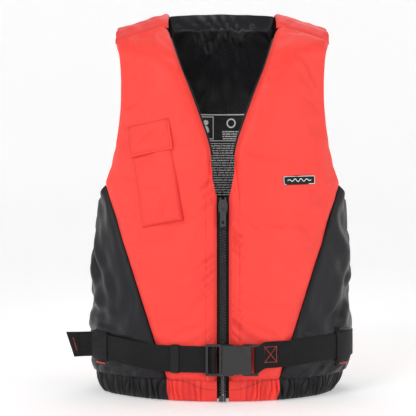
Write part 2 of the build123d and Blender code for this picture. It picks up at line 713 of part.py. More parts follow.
def prong(sign):
    """A springy arm of the male half, with a rounded button and a barb behind it; sign 1 is the upper one."""
    root = MOUTH_X
    catch = BUCKLE_HEIGHT / 2 - CATCH_DEPTH
    barb_x = root + CATCH_LENGTH + LAYER_GAP
    tip = root + PRONG_LENGTH
    outer = catch - LAYER_GAP
    outline = make_face(
        Curve()
        + [
            Polyline((tip, catch - 8), (root, catch - 5), (root, outer), (barb_x, outer), (barb_x, outer + BARB)),
            ThreePointArc((barb_x, outer + BARB), (barb_x + 6, outer + BARB + 1.3), (tip, catch - 8)),
        ]
    )
    arm = seen_from_front(outline, -1, low=-BUCKLE_Y - PRONG_THICK / 2, high=-BUCKLE_Y + PRONG_THICK / 2)
    return Pos(0, 0, BUCKLE_Z) * (arm if sign > 0 else mirror(arm, Plane.XY))


def buckle():
    return {
        "buckle_female": female_buckle(),
        "buckle_male": male_buckle(),
        "buckle_prong_upper": prong(1),
        "buckle_prong_lower": prong(-1),
    }


# ---------------------------------------------------------------- pocket
def pocket_plane():
    """Plane touching the front panel at the pocket: x across, y up along the pocket's lean, z outwards."""
    x, z = POCKET_AT
    turn = math.asin(x / FRONT_RADIUS)
    across = Vector(math.cos(turn), math.sin(turn), 0)
    return Plane(origin=(x, -depth_at(x), z), x_dir=across, z_dir=(math.sin(turn), -math.cos(turn), 0)) * Rot(
        0, 0, POCKET_LEAN
    )


def pocket_slab(width, profile):
    """A solid on the pocket plane, from its profile of (height, distance out) points and its width."""
    side_view = make_face(Polyline(*profile, close=True))
    upright = Plane(origin=(0, 0, 0), x_dir=(0, 1, 0), z_dir=(1, 0, 0))
    return pocket_plane() * extrude(upright * side_view, width / 2, both=True)


def pocket_front(height):
    """Distance out of the pocket's front face at a height on the pocket plane."""
    foot, mouth = -POCKET_SHOWN / 2, POCKET_SHOWN / 2 + POCKET_UNDER_FLAP
    share = (height - foot) / (mouth - foot)
    return POCKET_DEPTH + share * (POCKET_MOUTH_DEPTH - POCKET_DEPTH)


def pocket():
    """Bellows pocket, open at its mouth, its flap and the two closing tapes."""
    foot, mouth = -POCKET_SHOWN / 2, POCKET_SHOWN / 2 + POCKET_UNDER_FLAP
    sunk = -8.0
    outside = [(foot, sunk), (foot, pocket_front(foot)), (mouth, pocket_front(mouth)), (mouth, sunk)]
    low, high = foot + FABRIC, mouth + 1
    inside = [(low, sunk - 1), (low, pocket_front(low) - FABRIC), (high, pocket_front(high) - FABRIC), (high, sunk - 1)]
    tray = pocket_slab(POCKET_WIDTH, outside) - pocket_slab(POCKET_WIDTH - 2 * FABRIC, inside)

    pad_foot = POCKET_SHOWN / 2 + 3.0
    pad_head = pad_foot + TAPE_PAD[1]

    def sheet(width, ends, start, thick):
        """A flat sheet that follows the pocket's front face at a distance."""
        inner = [(h, pocket_front(h) + start) for h in ends]
        outer = [(h, pocket_front(h) + start + thick) for h in reversed(ends)]
        return pocket_slab(width, inner + outer)

    loop_tape = sheet(TAPE_PAD[0], (pad_foot, pad_head), 0.1, TAPE_PAD_THICK)
    hook_tape = sheet(TAPE_PAD[0], (pad_foot, pad_head), 0.1 + TAPE_PAD_THICK + LAYER_GAP, TAPE_PAD_THICK)

    lift = 0.2 + 2 * TAPE_PAD_THICK + LAYER_GAP
    flap_foot = POCKET_SHOWN / 2 - 3.0 + 6.0
    seam = flap_foot + FLAP_HEIGHT
    bend = mouth + 1.5
    flap = [
        (flap_foot, pocket_front(flap_foot) + lift),
        (bend, pocket_front(bend) + lift),
        (seam, 0.2),
        (seam, 0.2 + FLAP_THICK),
        (bend, pocket_front(bend) + lift + FLAP_THICK),
        (flap_foot, pocket_front(flap_foot) + lift + FLAP_THICK),
    ]
    return {
        "pocket_body": tray - torso(0),
        "pocket_loop_tape": loop_tape,
        "pocket_hook_tape": hook_tape,
        "pocket_flap": pocket_slab(FLAP_WIDTH, flap) - torso(-LAYER_GAP),
    }


# ---------------------------------------------------------------- patches
def patches():
    """The small patch on the chest and the label inside the back."""
    width, height = PATCH_SIZE
    chest = Pos(*PATCH_AT) * Rot(0, 0, 2.5) * RectangleRounded(width, height, 2.0)
    label = Pos(*LABEL_AT) * RectangleRounded(*LABEL_SIZE, 4.0)
    return {
        "chest_patch": layer(-PATCH_THICK, 0) & seen_from_front(chest, -1),
        "back_label": layer(LINING_BACK, LINING_BACK + PATCH_THICK) & seen_from_front(label, 1),
    }


def main():
    groups = (
        front_panels, back_panel, side_panels, shoulder_yokes, bindings, hem,
        zip_fly, belt, buckle, pocket, patches,
    )
    parts = {"zip_slider": slider(), "zip_pull": pull()}
    for group in groups:
        parts.update(group())
    os.makedirs("parts", exist_ok=True)
    for name, shape in parts.items():
        export_step(shape, f"parts/{name}.step")


main()
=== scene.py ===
# %% [markdown]
# # A waistcoat life jacket
# A buoyancy vest is a set of foam panels in nylon shells, sewn to thin side panels and closed by a zip and a
# waist belt. The hard parts, such as the buckle and the zip's slider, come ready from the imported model. The soft
# parts are made here, on the same torso form, so that each sits where its solid sits.

# %% Load the frame
import json
import math

import bpy
import numpy as np
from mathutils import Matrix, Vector
from mathutils.bvhtree import BVHTree

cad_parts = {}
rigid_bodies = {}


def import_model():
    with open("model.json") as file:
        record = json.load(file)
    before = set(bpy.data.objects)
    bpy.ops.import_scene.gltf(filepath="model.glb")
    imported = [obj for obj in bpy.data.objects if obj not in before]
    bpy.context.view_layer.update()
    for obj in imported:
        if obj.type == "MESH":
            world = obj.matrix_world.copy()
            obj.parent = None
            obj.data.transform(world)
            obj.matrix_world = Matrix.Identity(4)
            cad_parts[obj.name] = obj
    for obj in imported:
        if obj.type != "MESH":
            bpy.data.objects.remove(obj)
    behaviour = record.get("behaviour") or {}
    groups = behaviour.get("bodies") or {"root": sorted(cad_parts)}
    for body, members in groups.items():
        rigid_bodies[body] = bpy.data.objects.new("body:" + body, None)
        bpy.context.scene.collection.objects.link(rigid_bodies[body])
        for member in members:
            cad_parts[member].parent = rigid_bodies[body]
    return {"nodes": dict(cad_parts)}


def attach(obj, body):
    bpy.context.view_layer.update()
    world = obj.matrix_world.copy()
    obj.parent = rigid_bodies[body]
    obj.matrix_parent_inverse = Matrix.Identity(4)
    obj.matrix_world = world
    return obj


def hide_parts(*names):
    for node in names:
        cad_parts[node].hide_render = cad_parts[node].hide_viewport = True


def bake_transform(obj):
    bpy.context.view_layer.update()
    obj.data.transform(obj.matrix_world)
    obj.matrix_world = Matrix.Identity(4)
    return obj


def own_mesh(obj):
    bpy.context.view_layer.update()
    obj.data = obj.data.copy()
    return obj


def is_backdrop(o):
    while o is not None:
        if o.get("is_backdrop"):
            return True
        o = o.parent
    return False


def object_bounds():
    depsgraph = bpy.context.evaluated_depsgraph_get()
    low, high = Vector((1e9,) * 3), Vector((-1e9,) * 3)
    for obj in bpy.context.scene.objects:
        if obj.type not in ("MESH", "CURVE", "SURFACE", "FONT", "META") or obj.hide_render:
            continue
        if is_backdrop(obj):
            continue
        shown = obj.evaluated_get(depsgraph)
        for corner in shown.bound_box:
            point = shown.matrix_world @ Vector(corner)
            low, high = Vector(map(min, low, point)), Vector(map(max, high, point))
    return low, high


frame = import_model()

CAD_LOW, CAD_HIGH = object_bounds()
NODES = frame["nodes"]
SIDES = (("left", 1), ("right", -1))
print("CAD box", [round(v, 3) for v in (*CAD_LOW, *CAD_HIGH)])

# %% [markdown]
# ## Camera, light and floor
# The jacket is shown standing, from straight in front and a little under its middle, against white. Three large
# soft lights do the work: a high key light from the front left, a fill from the right, and one from above that
# rims the shoulders. A pale floor that curves up behind keeps the background free of an edge.

# %% Camera
scene = bpy.context.scene
EYE = (-0.0228, -1.745, 0.298)
camera_data = bpy.data.cameras.new("camera")
camera_data.lens = 91.1
camera_data.sensor_width = 36.0
camera = bpy.data.objects.new("camera", camera_data)
camera.location = EYE
camera.rotation_euler = (math.radians(90), 0, 0)
scene.collection.objects.link(camera)
scene.camera = camera
scene.view_settings.view_transform = "Standard"
print("camera at", EYE)


# %% Soft lights
def soft_light(name, place, target, size, watts, colour=(1, 1, 1)):
    lamp = bpy.data.lights.new(name, "AREA")
    lamp.shape = "RECTANGLE"
    lamp.size, lamp.size_y = size
    lamp.energy = watts
    lamp.color = colour
    made = bpy.data.objects.new(name, lamp)
    made.location = place
    made.rotation_euler = (Vector(target) - Vector(place)).to_track_quat("-Z", "Y").to_euler()
    scene.collection.objects.link(made)
    return made


CHEST = (0, -0.1, 0.35)
soft_light("key", (-1.3, -2.2, 1.9), CHEST, (1.1, 1.1), 27)
soft_light("fill", (1.9, -1.7, 0.9), CHEST, (1.2, 1.6), 9)
soft_light("top", (0.2, 0.3, 2.2), CHEST, (1.4, 1.0), 9)
soft_light("back", (0.3, 2.2, 2.3), CHEST, (1.8, 1.0), 10)
world = bpy.data.worlds.new("studio")
scene.world = world
world.use_nodes = True
world.node_tree.nodes["Background"].inputs["Color"].default_value = (1, 1, 1, 1)
world.node_tree.nodes["Background"].inputs["Strength"].default_value = 0.22

# %% [markdown]
# ## Finishes
# Every finish is a small node graph. Writing the maths of a weave node by node is long, so a socket is wrapped in
# a class whose operators add the nodes: `height = warp * 0.5 + weft` then builds what it says. Cloth carries its own
# map in metres, along and across the fabric, and so threads keep their size however a panel curves.


# %% A socket that can be added and multiplied
class Wire:
    """A socket of a material's graph. Sums and products of wires add Math nodes."""

    def __init__(self, finish, socket):
        self.finish, self.socket = finish, socket

    def maths(self, operation, *others, clamp=False):
        settings = {"operation": operation, "use_clamp": clamp}
        return self.finish.add("ShaderNodeMath", settings, [self, *others])

    def __add__(self, other):
        return self.maths("ADD", other)

    __radd__ = __add__

    def __mul__(self, other):
        return self.maths("MULTIPLY", other)

    __rmul__ = __mul__

    def __sub__(self, other):
        return self.maths("SUBTRACT", other)

    def __rsub__(self, other):
        return self * -1 + other

    def __truediv__(self, other):
        return self.maths("DIVIDE", other)

    def power(self, other):
        return self.maths("POWER", other)

    def sine(self):
        return self.maths("SINE")

    def size(self):
        return self.maths("ABSOLUTE")

    def part(self):
        return self.maths("FRACT")

    def above(self, limit):
        return self.maths("GREATER_THAN", limit)

    def least(self, other):
        return self.maths("MINIMUM", other)

    def most(self, other):
        return self.maths("MAXIMUM", other)

    def ramp(self, low, high, start=0.0, end=1.0):
        """start at low and below, end at high and above, smooth between."""
        settings = {"interpolation_type": "SMOOTHSTEP", "clamp": True}
        return self.finish.add("ShaderNodeMapRange", settings, [self, low, high, start, end])


class Finish:
    """A material and the graph behind it."""

    def __init__(self, name, **constants):
        self.material = bpy.data.materials.new(name)
        self.material.use_nodes = True
        self.nodes = self.material.node_tree.nodes
        self.nodes.clear()
        self.links = self.material.node_tree.links
        self.shader = self.nodes.new("ShaderNodeBsdfPrincipled")
        output = self.nodes.new("ShaderNodeOutputMaterial")
        self.links.new(self.shader.outputs[0], output.inputs[0])
        for socket, value in constants.items():
            self.shader.inputs[socket.replace("_", " ")].default_value = value

    def add(self, kind, settings=None, sockets=(), out=0):
        node = self.nodes.new(kind)
        for key, value in (settings or {}).items():
            setattr(node, key, value)
        pairs = sockets.items() if isinstance(sockets, dict) else enumerate(sockets)
        for key, value in pairs:
            self.join(value, node.inputs[key])
        return Wire(self, node.outputs[out])

    def join(self, value, socket):
        if isinstance(value, Wire):
            self.links.new(value.socket, socket)
        else:
            socket.default_value = value

    def map(self):
        """Across and along the cloth, in metres."""
        uv = self.add("ShaderNodeUVMap", {"uv_map": "cloth"})
        split = self.nodes.new("ShaderNodeSeparateXYZ")
        self.links.new(uv.socket, split.inputs[0])
        return uv, Wire(self, split.outputs[0]), Wire(self, split.outputs[1])

    def place(self):
        coordinates = self.nodes.new("ShaderNodeTexCoord")
        point = Wire(self, coordinates.outputs["Object"])
        split = self.nodes.new("ShaderNodeSeparateXYZ")
        self.links.new(point.socket, split.inputs[0])
        return point, [Wire(self, split.outputs[i]) for i in range(3)]

    def noise(self, vector, scale, detail=2.0, roughness=0.5, distortion=0.0):
        sockets = {
            "Vector": vector, "Scale": scale, "Detail": detail, "Roughness": roughness, "Distortion": distortion
        }
        return self.add("ShaderNodeTexNoise", None, sockets)

    def mix(self, factor, first, second, blend="MIX"):
        made = self.nodes.new("ShaderNodeMix")
        made.data_type, made.blend_type = "RGBA", blend
        self.join(factor, made.inputs[0])
        for value, socket in ((first, made.inputs[6]), (second, made.inputs[7])):
            self.join(value if isinstance(value, Wire) else (*value, 1.0), socket)
        return Wire(self, made.outputs[2])

    def attribute(self, name):
        return self.add("ShaderNodeAttribute", {"attribute_name": name}, (), "Fac")

    def bump(self, height, distance, strength=1.0, after=None):
        sockets = {"Height": height, "Distance": distance, "Strength": strength}
        if after is not None:
            sockets["Normal"] = after
        return self.add("ShaderNodeBump", None, sockets)

    def set(self, **sockets):
        for socket, value in sockets.items():
            self.join(value, self.shader.inputs[socket.replace("_", " ")])
        return self.material


print("finish maths ready")


# %% [markdown]
# ### Coated nylon
# The shell is a plain weave of fine, slightly shiny yarn. At arm's length the threads melt into a satin skin, so
# the weave is a faint bump a third of a millimetre wide, and what the eye reads is the sheen and the soft shade of
# handling creases. Painted shade deepens the colour where the cloth turns into a seam, folds or puckers.


# %% Nylon cloth
def nylon(name, colour, deep, sheen, rough=0.5, creases=0.5, thread=0.00045, mirror=0.32):
    cloth = Finish(name, Sheen_Weight=sheen, Sheen_Roughness=0.4, Specular_IOR_Level=mirror)
    uv, across, along = cloth.map()
    turn = 2 * math.pi / thread
    warp, weft = (across * turn).sine(), (along * turn).sine()
    weave = warp * weft * 0.5 + warp.size() * 0.3
    slub = cloth.noise(uv, 260.0, 2.0, 0.6)
    crumple = cloth.noise(uv, 34.0, 4.0, 0.62, 0.7)
    broad = cloth.noise(uv, 9.0, 2.0, 0.5, 0.3)
    edge = cloth.attribute("seam")
    shade = (crumple - 0.5) * 0.35 + (broad - 0.5) * 0.30 + (slub - 0.5) * 0.2
    body = cloth.mix((shade * 0.6 + 0.08).most(0.0).least(1.0), colour, deep)
    # painted shade: the seam attribute deepens the colour where the cloth turns into seams, folds and puckers
    body = cloth.mix((edge * 0.85).least(1.0), body, deep)
    folds = cloth.bump((crumple - 0.5).size(), 0.0016, creases)
    woven = cloth.bump(weave + slub * 0.6, 0.00006, 0.6, folds)
    gloss = (slub - 0.5) * 0.16 + (broad - 0.5) * 0.14 + edge * 0.1 + rough
    return cloth.set(Base_Color=body, Roughness=gloss, Normal=woven)


RED = nylon("red_nylon", (0.96, 0.058, 0.042), (0.60, 0.018, 0.018), 0.05, 0.5, 0.5)
YOKE_RED = nylon("red_yoke", (0.90, 0.062, 0.052), (0.55, 0.02, 0.02), 0.06)
SIDE_BLACK = nylon("black_side", (0.011, 0.0105, 0.013), (0.003, 0.003, 0.004), 0.01, 0.34, 0.7, mirror=0.24)
LINING_BLACK = nylon("black_lining", (0.010, 0.010, 0.012), (0.005, 0.005, 0.006), 0.02, 0.30, 0.7)
BINDING_BLACK = nylon("binding", (0.012, 0.012, 0.014), (0.006, 0.006, 0.007), 0.1, 0.6, 0.2, 0.0007)
print("nylons", [m.name for m in (RED, YOKE_RED, SIDE_BLACK, LINING_BLACK, BINDING_BLACK)])

# %% [markdown]
# ## The torso form
# Every soft panel lies on one form: an oval plan of four arcs, closed over the shoulders by a sloped arch. A point
# of the cloth is told by how far it lies round the body from the middle and how far up it lies, so the same two
# numbers place the panels, the hem and the stitches, and also give the cloth's own map.

# %% Sizes of the form
FRONT_RADIUS, ARC_CENTRE_Y = 0.261878, 0.116878
SIDE_RADIUS, SIDE_CENTRE = 0.100, 0.112
JOIN = math.atan2(SIDE_CENTRE, ARC_CENTRE_Y)
FRONT_ARC = FRONT_RADIUS * JOIN
HALF_ROUND = 2 * FRONT_ARC + SIDE_RADIUS * (math.pi - 2 * JOIN)
RIDGE_TOP, SLOPE = 0.64802, 0.33
ARCH_DEPTH, ARCH_RISE, ARCH_TURN = 0.150, 0.240, 0.200
SHOULDER_BLEND = 0.012
THICK = 0.0295
HEM = 0.0343
print("round the jacket", round(2 * HALF_ROUND, 3), "m")


# %% Points on the form
def round_at(x):
    """How far round from the middle the front-view distance x lies."""
    x = np.asarray(x, float)
    front = FRONT_RADIUS * np.arcsin(np.clip(x / FRONT_RADIUS, -1, 1))
    side = FRONT_ARC + SIDE_RADIUS * (np.arcsin(np.clip((np.abs(x) - SIDE_CENTRE) / SIDE_RADIUS, -1, 1)) - JOIN)
    return np.where(np.abs(front) <= FRONT_ARC, front, np.sign(x) * side)


def plan(a):
    """Distance from the centre line, and depth in front of the middle plane, at a round the body."""
    side, s = np.sign(a), np.abs(a)
    turn = np.clip(s, 0, FRONT_ARC) / FRONT_RADIUS
    x, depth = FRONT_RADIUS * np.sin(turn), FRONT_RADIUS * np.cos(turn) - ARC_CENTRE_Y
    bend = JOIN + (s - FRONT_ARC) / SIDE_RADIUS
    on_side = (s > FRONT_ARC) & (s < HALF_ROUND - FRONT_ARC)
    x = np.where(on_side, SIDE_CENTRE + SIDE_RADIUS * np.sin(bend), x)
    depth = np.where(on_side, SIDE_RADIUS * np.cos(bend), depth)
    far = (HALF_ROUND - s) / FRONT_RADIUS
    behind = s >= HALF_ROUND - FRONT_ARC
    x = np.where(behind, FRONT_RADIUS * np.sin(far), x)
    depth = np.where(behind, ARC_CENTRE_Y - FRONT_RADIUS * np.cos(far), depth)
    return side * x, depth


def from_middle(x):
    """Distance from the centre line, rounded off in the middle so that the shoulder slopes meet without a peak."""
    return np.sqrt(np.asarray(x, float) ** 2 + 0.03**2) - 0.003


def spring_at(x):
    """Height at which the arch over the shoulder begins, at x."""
    return RIDGE_TOP - SLOPE * from_middle(x) - ARCH_RISE


def up_at(x, z):
    """How far up the cloth the height z lies, at x."""
    spring = spring_at(x)
    turn = np.arcsin(np.clip((z - spring) / ARCH_RISE, 0, 1))
    return np.where(z <= spring, z, spring + ARCH_TURN * turn)


def form(a, p, facing=-1.0):
    """Point at a round the body and p up the cloth, on the front (-1) or the back (1)."""
    a, p = np.broadcast_arrays(np.asarray(a, float), np.asarray(p, float))
    x, depth = plan(a)
    spring = spring_at(x)
    turn = np.maximum(p - spring, 0) / ARCH_TURN
    arch = ARCH_DEPTH * np.cos(turn)
    z = np.where(p <= spring, p, spring + ARCH_RISE * np.sin(turn))
    near, size = np.abs(depth), np.abs(arch)
    overlap = np.clip(SHOULDER_BLEND - np.abs(near - size), 0, None)
    least = np.minimum(near, size) - overlap**2 / (4 * SHOULDER_BLEND)
    y = facing * np.sign(depth) * np.where(arch < 0, -1, 1) * np.maximum(least, 0)
    return np.stack([x, y, z], -1)


def outwards(a, p, facing=-1.0, step=0.0015):
    """Unit normal of the form."""
    round_step = form(a + step, p, facing) - form(a - step, p, facing)
    up_step = form(a, p + step, facing) - form(a, p - step, facing)
    normal = np.cross(round_step, up_step) * -facing
    return normal / np.maximum(np.linalg.norm(normal, axis=-1, keepdims=True), 1e-9)


def laid(a, p, inset, facing=-1.0):
    """Point that lies inset under the form's surface."""
    return form(a, p, facing) - outwards(a, p, facing) * np.asarray(inset)[..., None]


def smooth(value, low, high):
    t = np.clip((value - low) / (high - low), 0, 1)
    return t * t * (3 - 2 * t)


def bell(value, width, power=2):
    """1 at zero, falling off over about that width on both sides."""
    return np.exp(-((value / width) ** power))


def pair(first, second):
    return np.stack([first, second], -1)


def crossed(row, column):
    """A row and a column of numbers, each filled out to the whole grid."""
    return row + 0 * column, column + 0 * row


def pressed(distance, reach, depth):
    """Inset beside a seam that draws the cloth in, gone at reach from it."""
    return depth * np.clip(1 - distance / reach, 0, 1) ** 2


def travelled(path):
    """Distance along a path of points, from its start."""
    return np.concatenate([[0], np.cumsum(np.linalg.norm(np.diff(path, axis=0), axis=1))])


def raised(points):
    """The back of the neck stands up a little, so its edge looks level from the front."""
    x, z = np.abs(points[..., 0]), points[..., 2]
    up = np.interp(x, [0, 0.045, 0.07, 0.088, 0.094], [0.0115, 0.0105, 0.006, 0.0012, 0.0])
    points[..., 2] = z + up * smooth(z, 0.535, 0.612)
    return points


print("armpit", np.round(form(round_at(0.191), 0.337), 3))


# %% [markdown]
# ### Waves and creases
# Cloth is never flat. Two kinds of unevenness are added to each panel's depth: long soft waves, made of a few sine
# waves with fixed directions, and creases, each a line with a width and a depth that fades out at its ends.


# %% Uneven cloth
def waves(a, p, length, seed, count=9, stretch=1.0):
    """Soft unevenness between about -1 and 1, with waves of about that length."""
    rng = np.random.default_rng(seed)
    total = np.zeros(np.broadcast(a, p).shape)
    for _ in range(count):
        way, size, phase = rng.uniform(0, 2 * math.pi), rng.uniform(0.7, 1.5), rng.uniform(0, 2 * math.pi)
        pace = 2 * math.pi * size / length
        total += np.sin((a * math.cos(way) + p * math.sin(way) / stretch) * pace + phase)
    return total / math.sqrt(count)


def crease(a, p, start, end, width, depth):
    """A valley from start to end, with a low fold on each side, fading out at both ends."""
    (a0, p0), (a1, p1) = start, end
    da, dp = a1 - a0, p1 - p0
    long = math.hypot(da, dp)
    along = ((a - a0) * da + (p - p0) * dp) / long**2
    off = ((a - a0) * dp - (p - p0) * da) / long
    off = off + 0.12 * width * np.sin(along * 5.0)
    fade = np.clip(1 - (2 * along - 1) ** 2, 0, 1) ** 0.7
    here = off / width
    return depth * fade * (np.exp(-(here**2)) - 0.55 * np.exp(-((np.abs(here) - 1.7) ** 2)))


def gathers(a, pitch, seed):
    """Folds of gathered cloth along a, between 0 in the valleys and 1 on the crowns."""
    rng = np.random.default_rng(seed)
    bend = sum(
        rng.uniform(0.25, 0.6) * np.sin(a / pitch * rng.uniform(0.25, 0.9) + rng.uniform(0, 6)) for _ in range(5)
    )
    fold = np.abs(np.sin(math.pi * a / pitch + bend))
    tall = 0.68 + 0.32 * np.sin(a / pitch * 1.3 + bend * 1.7)
    return fold**0.75 * tall


print("crease depth in the middle", round(float(crease(0.5, 0.0, (0, 0), (1, 0), 0.1, 1.0)), 2))


# %% [markdown]
# ### From rows of points to a mesh
# A panel is a grid of points, so it becomes a mesh by joining each square of four. A stuffed panel is two grids, the
# outer and the inner face, joined round the rim by a wall with rounded shoulders. The grid keeps its rows through
# every later step, which is why its cloth map and its seam shading need no unwrapping.


# %% Mesh builders
def new_mesh(name, points, faces, cloth=None, seam=None, smooth=True):
    mesh = bpy.data.meshes.new(name)
    mesh.from_pydata(np.asarray(points, float).tolist(), [], [tuple(int(i) for i in f) for f in faces])
    mesh.update()
    if cloth is not None:
        layer = mesh.uv_layers.new(name="cloth")
        corners = np.empty(len(mesh.loops), np.int32)
        mesh.loops.foreach_get("vertex_index", corners)
        layer.data.foreach_set("uv", np.asarray(cloth, np.float32)[corners].ravel())
    # the seam attribute is painted shade: how far each point's colour is deepened
    if seam is not None:
        shade = mesh.attributes.new("seam", "FLOAT", "POINT")
        shade.data.foreach_set("value", np.asarray(seam, np.float32).ravel())
    mesh.polygons.foreach_set("use_smooth", [smooth] * len(mesh.polygons))
    made = bpy.data.objects.new(name, mesh)
    scene.collection.objects.link(made)
    return made


def grid_faces(rows, columns, start=0, flip=False, close=False):
    """Quads of a grid whose points run along its columns first. close joins the last column to the first."""
    faces = []
    for r in range(rows - 1):
        for c in range(columns if close else columns - 1):
            d = (c + 1) % columns
            quad = [start + r * columns + c, start + r * columns + d, start + (r + 1) * columns + d]
            quad.append(start + (r + 1) * columns + c)
            faces.append(quad[::-1] if flip else quad)
    return faces


def face_outwards(obj):
    """Turns a closed mesh inside out if its faces point inwards."""
    mesh = obj.data
    mesh.calc_loop_triangles()
    corners = np.empty(len(mesh.loop_triangles) * 3, np.int32)
    mesh.loop_triangles.foreach_get("vertices", corners)
    co = np.array([v.co for v in mesh.vertices])[corners].reshape(-1, 3, 3)
    if float(np.einsum("ij,ij->i", co[:, 0], np.cross(co[:, 1], co[:, 2])).sum()) < 0:
        mesh.flip_normals()


def tube_faces(rows, around):
    """Quads of a tube whose rings run around, with a face over each end."""
    ends = [list(range(around))[::-1], [(rows - 1) * around + i for i in range(around)]]
    return grid_faces(rows, around, close=True) + ends


def dressed(obj, material):
    obj.data.materials.clear()
    obj.data.materials.append(material)


def rim_of(rows, columns):
    """The grid's border in order, as row and column numbers."""
    border = [(0, c) for c in range(columns)] + [(r, columns - 1) for r in range(1, rows)]
    border += [(rows - 1, c) for c in range(columns - 2, -1, -1)] + [(r, 0) for r in range(rows - 2, 0, -1)]
    return np.array(border)


def slab(name, outer, inner, cloth, seam, walls=(), flip=False):
    """Closed mesh from an outer and an inner grid of points, with rings of the rim between them."""
    rows, columns = outer.shape[:2]
    count, border = rows * columns, rim_of(rows, columns)
    ring = border[:, 0] * columns + border[:, 1]
    points = [outer.reshape(-1, 3), inner.reshape(-1, 3)]
    maps = [cloth.reshape(-1, 2), cloth.reshape(-1, 2) + (0.5, 0)]
    # painted shade: the inner face is deepened by 0.3 throughout
    seams = [seam.ravel(), seam.ravel() * 0 + 0.3]
    faces = grid_faces(rows, columns, 0, flip) + grid_faces(rows, columns, count, not flip)
    rings = [ring]
    for k, wall in enumerate(walls):
        rings.append(np.arange(len(ring)) + 2 * count + k * len(ring))
        points.append(wall)
        maps.append(cloth.reshape(-1, 2)[ring] + (0, 0.004 * (k + 1)))
        # painted shade: the rim walls, where the cloth turns over the edge, are deepened by 0.12
        seams.append(np.full(len(ring), 0.12))
    rings.append(ring + count)
    for before, after in zip(rings, rings[1:]):
        for i in range(len(ring)):
            j = (i + 1) % len(ring)
            quad = (before[j], before[i], after[i], after[j])
            faces.append(quad[::-1] if flip else quad)
    return new_mesh(name, np.concatenate(points), faces, np.concatenate(maps), np.concatenate(seams))


def edge_steps(width, near=(0, 0.0012, 0.003, 0.0055, 0.009, 0.0135), middle=0.0055, count=None):
    """Fractions across a panel of that width, close together at both edges."""
    near = np.array(near) / width
    near = near * min(1.0, 0.4 / near[-1])
    count = count or max(int(round(width * (1 - 2 * near[-1]) / middle)), 4)
    inside = np.linspace(near[-1], 1 - near[-1], count + 1)[1:-1]
    return np.concatenate([near, inside, 1 - near[::-1]])


def finished(obj, material, body="vest", slot=None, *nodes):
    """Colour a piece, name what it rides on and hide the CAD nodes that it stands for. The slot is not used."""
    if material is not None:
        dressed(obj, material)
    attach(obj, body)
    if nodes:
        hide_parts(*nodes)
    return obj


print("mesh builders ready")

# %% [markdown]
# ## Outlines of the panels
# Seen from the front, each front panel runs from the zip up the V of the neck to the shoulder seam, and back down
# the armhole and the slanting side seam to the hem. The back panel has the same outer edge.

# %% Outlines
HEM_SEAM_X, ARMPIT_X, ARMPIT_Z = 0.088, 0.191, 0.337
NECK_TOP = (0.090, 0.591)
SHOULDER_TIP = (0.172, 0.56526)
ZIP_EDGE_X = 0.020
YOKE_TURN = math.asin(1 - 0.026 / ARCH_RISE)


def through(z, first, middle, last):
    """Distance from the centre line at height z, on a bow through three points."""
    (x0, z0), (x1, z1), (x2, z2) = first, middle, last
    return (
        x0 * (z - z1) * (z - z2) / ((z0 - z1) * (z0 - z2))
        + x1 * (z - z0) * (z - z2) / ((z1 - z0) * (z1 - z2))
        + x2 * (z - z0) * (z - z1) / ((z2 - z0) * (z2 - z1))
    )


def neck_x(z):
    """Inner edge of a front panel: beside the zip, then up the V."""
    foot = ZIP_EDGE_X + np.clip((z - 0.379) / 0.031, 0, 1) ** 1.3 * 0.0077
    return np.where(z < 0.410, foot, through(z, (0.0277, 0.410), (0.0615, 0.505), NECK_TOP))


def seam_x(z):
    """Outer edge of a panel: up the side seam, then round the armhole."""
    low = HEM_SEAM_X + (z - HEM) / (ARMPIT_Z - HEM) * (ARMPIT_X - HEM_SEAM_X)
    return np.where(z < ARMPIT_Z, low, through(z, (ARMPIT_X, ARMPIT_Z), (0.165, 0.470), SHOULDER_TIP))


BELT_BACK_Z = 0.078


def belt_height(x):
    return 0.068 + 0.010 * np.clip((np.abs(x) - 0.100) / 0.085, 0, 1)


def roll(distance, radius):
    """How far cloth that turns over an edge lies under the face, at a distance from the edge."""
    near = np.clip(radius - distance, 0, radius)
    return radius - np.sqrt(radius**2 - near**2)


def distance_to(a, p, line):
    """Distance of each point of the cloth from a line of points on it."""
    gap = np.hypot(a[..., None] - line[:, 0], p[..., None] - line[:, 1])
    return gap.min(-1)


def pucker(x, z, side):
    """Slanting puckers that run outwards and down from the zip's seam, between -1 and 1."""
    line = z + 0.8 * (np.abs(x) - 0.012)
    strength = 0.62 + 0.38 * np.sin(line * 47 + 2 * side)
    return strength * np.sin(line / 0.0135 * 2 * math.pi + 2.1 * np.sin(line * 71 + side) + 1.3 * np.sin(line * 173))


def hem_fold(a, facing):
    """Gathering of the hem's elastic, from 0 to 1, none of it beside the zip."""
    away = smooth(np.abs(a), 0.022, 0.040) if facing < 0 else 1.0
    return (gathers(a + 3.0 * (facing > 0), 0.0088, 41) - 0.45) * away


def drawn_in(a, z, side):
    """How far the elastic draws the jacket in below the belt, most at the wearer's sides."""
    side_draw = np.where(np.asarray(side) > 0, 0.020, 0.003)
    low = smooth(0.075 - np.asarray(z), 0.0, 0.085)
    return side_draw * bell(np.abs(a) - HALF_ROUND / 2, 0.10) * low


def crown(distance, x, z, rise=0.0045, reach=0.03):
    """Inset of a swollen face: it stands proud between its seams and is pressed flat under the belt."""
    proud = -rise * (1 - np.exp(-distance / reach))
    strapped = bell(z - belt_height(x), 0.023, 4)
    return proud + (np.maximum(proud, -0.0016) - proud) * strapped


print("neck at 500 mm", round(float(neck_x(0.5)), 4), "armhole", round(float(seam_x(0.47)), 4))

# %% [markdown]
# ### Letting the cloth settle
# The shell is cut a little larger than its foam, so it swells between the seams and puckers along them. A short
# cloth simulation does this: the rim and the inner face are pinned, the cloth grows by a few percent, pressure
# pushes it out, and no point may move more than a few millimetres, so the panel stays in its own space.


# %% Cloth settling
FOAM_GROWTH, FOAM_PRESSURE, FOAM_CAP = 0.035, 1.2, 0.0022


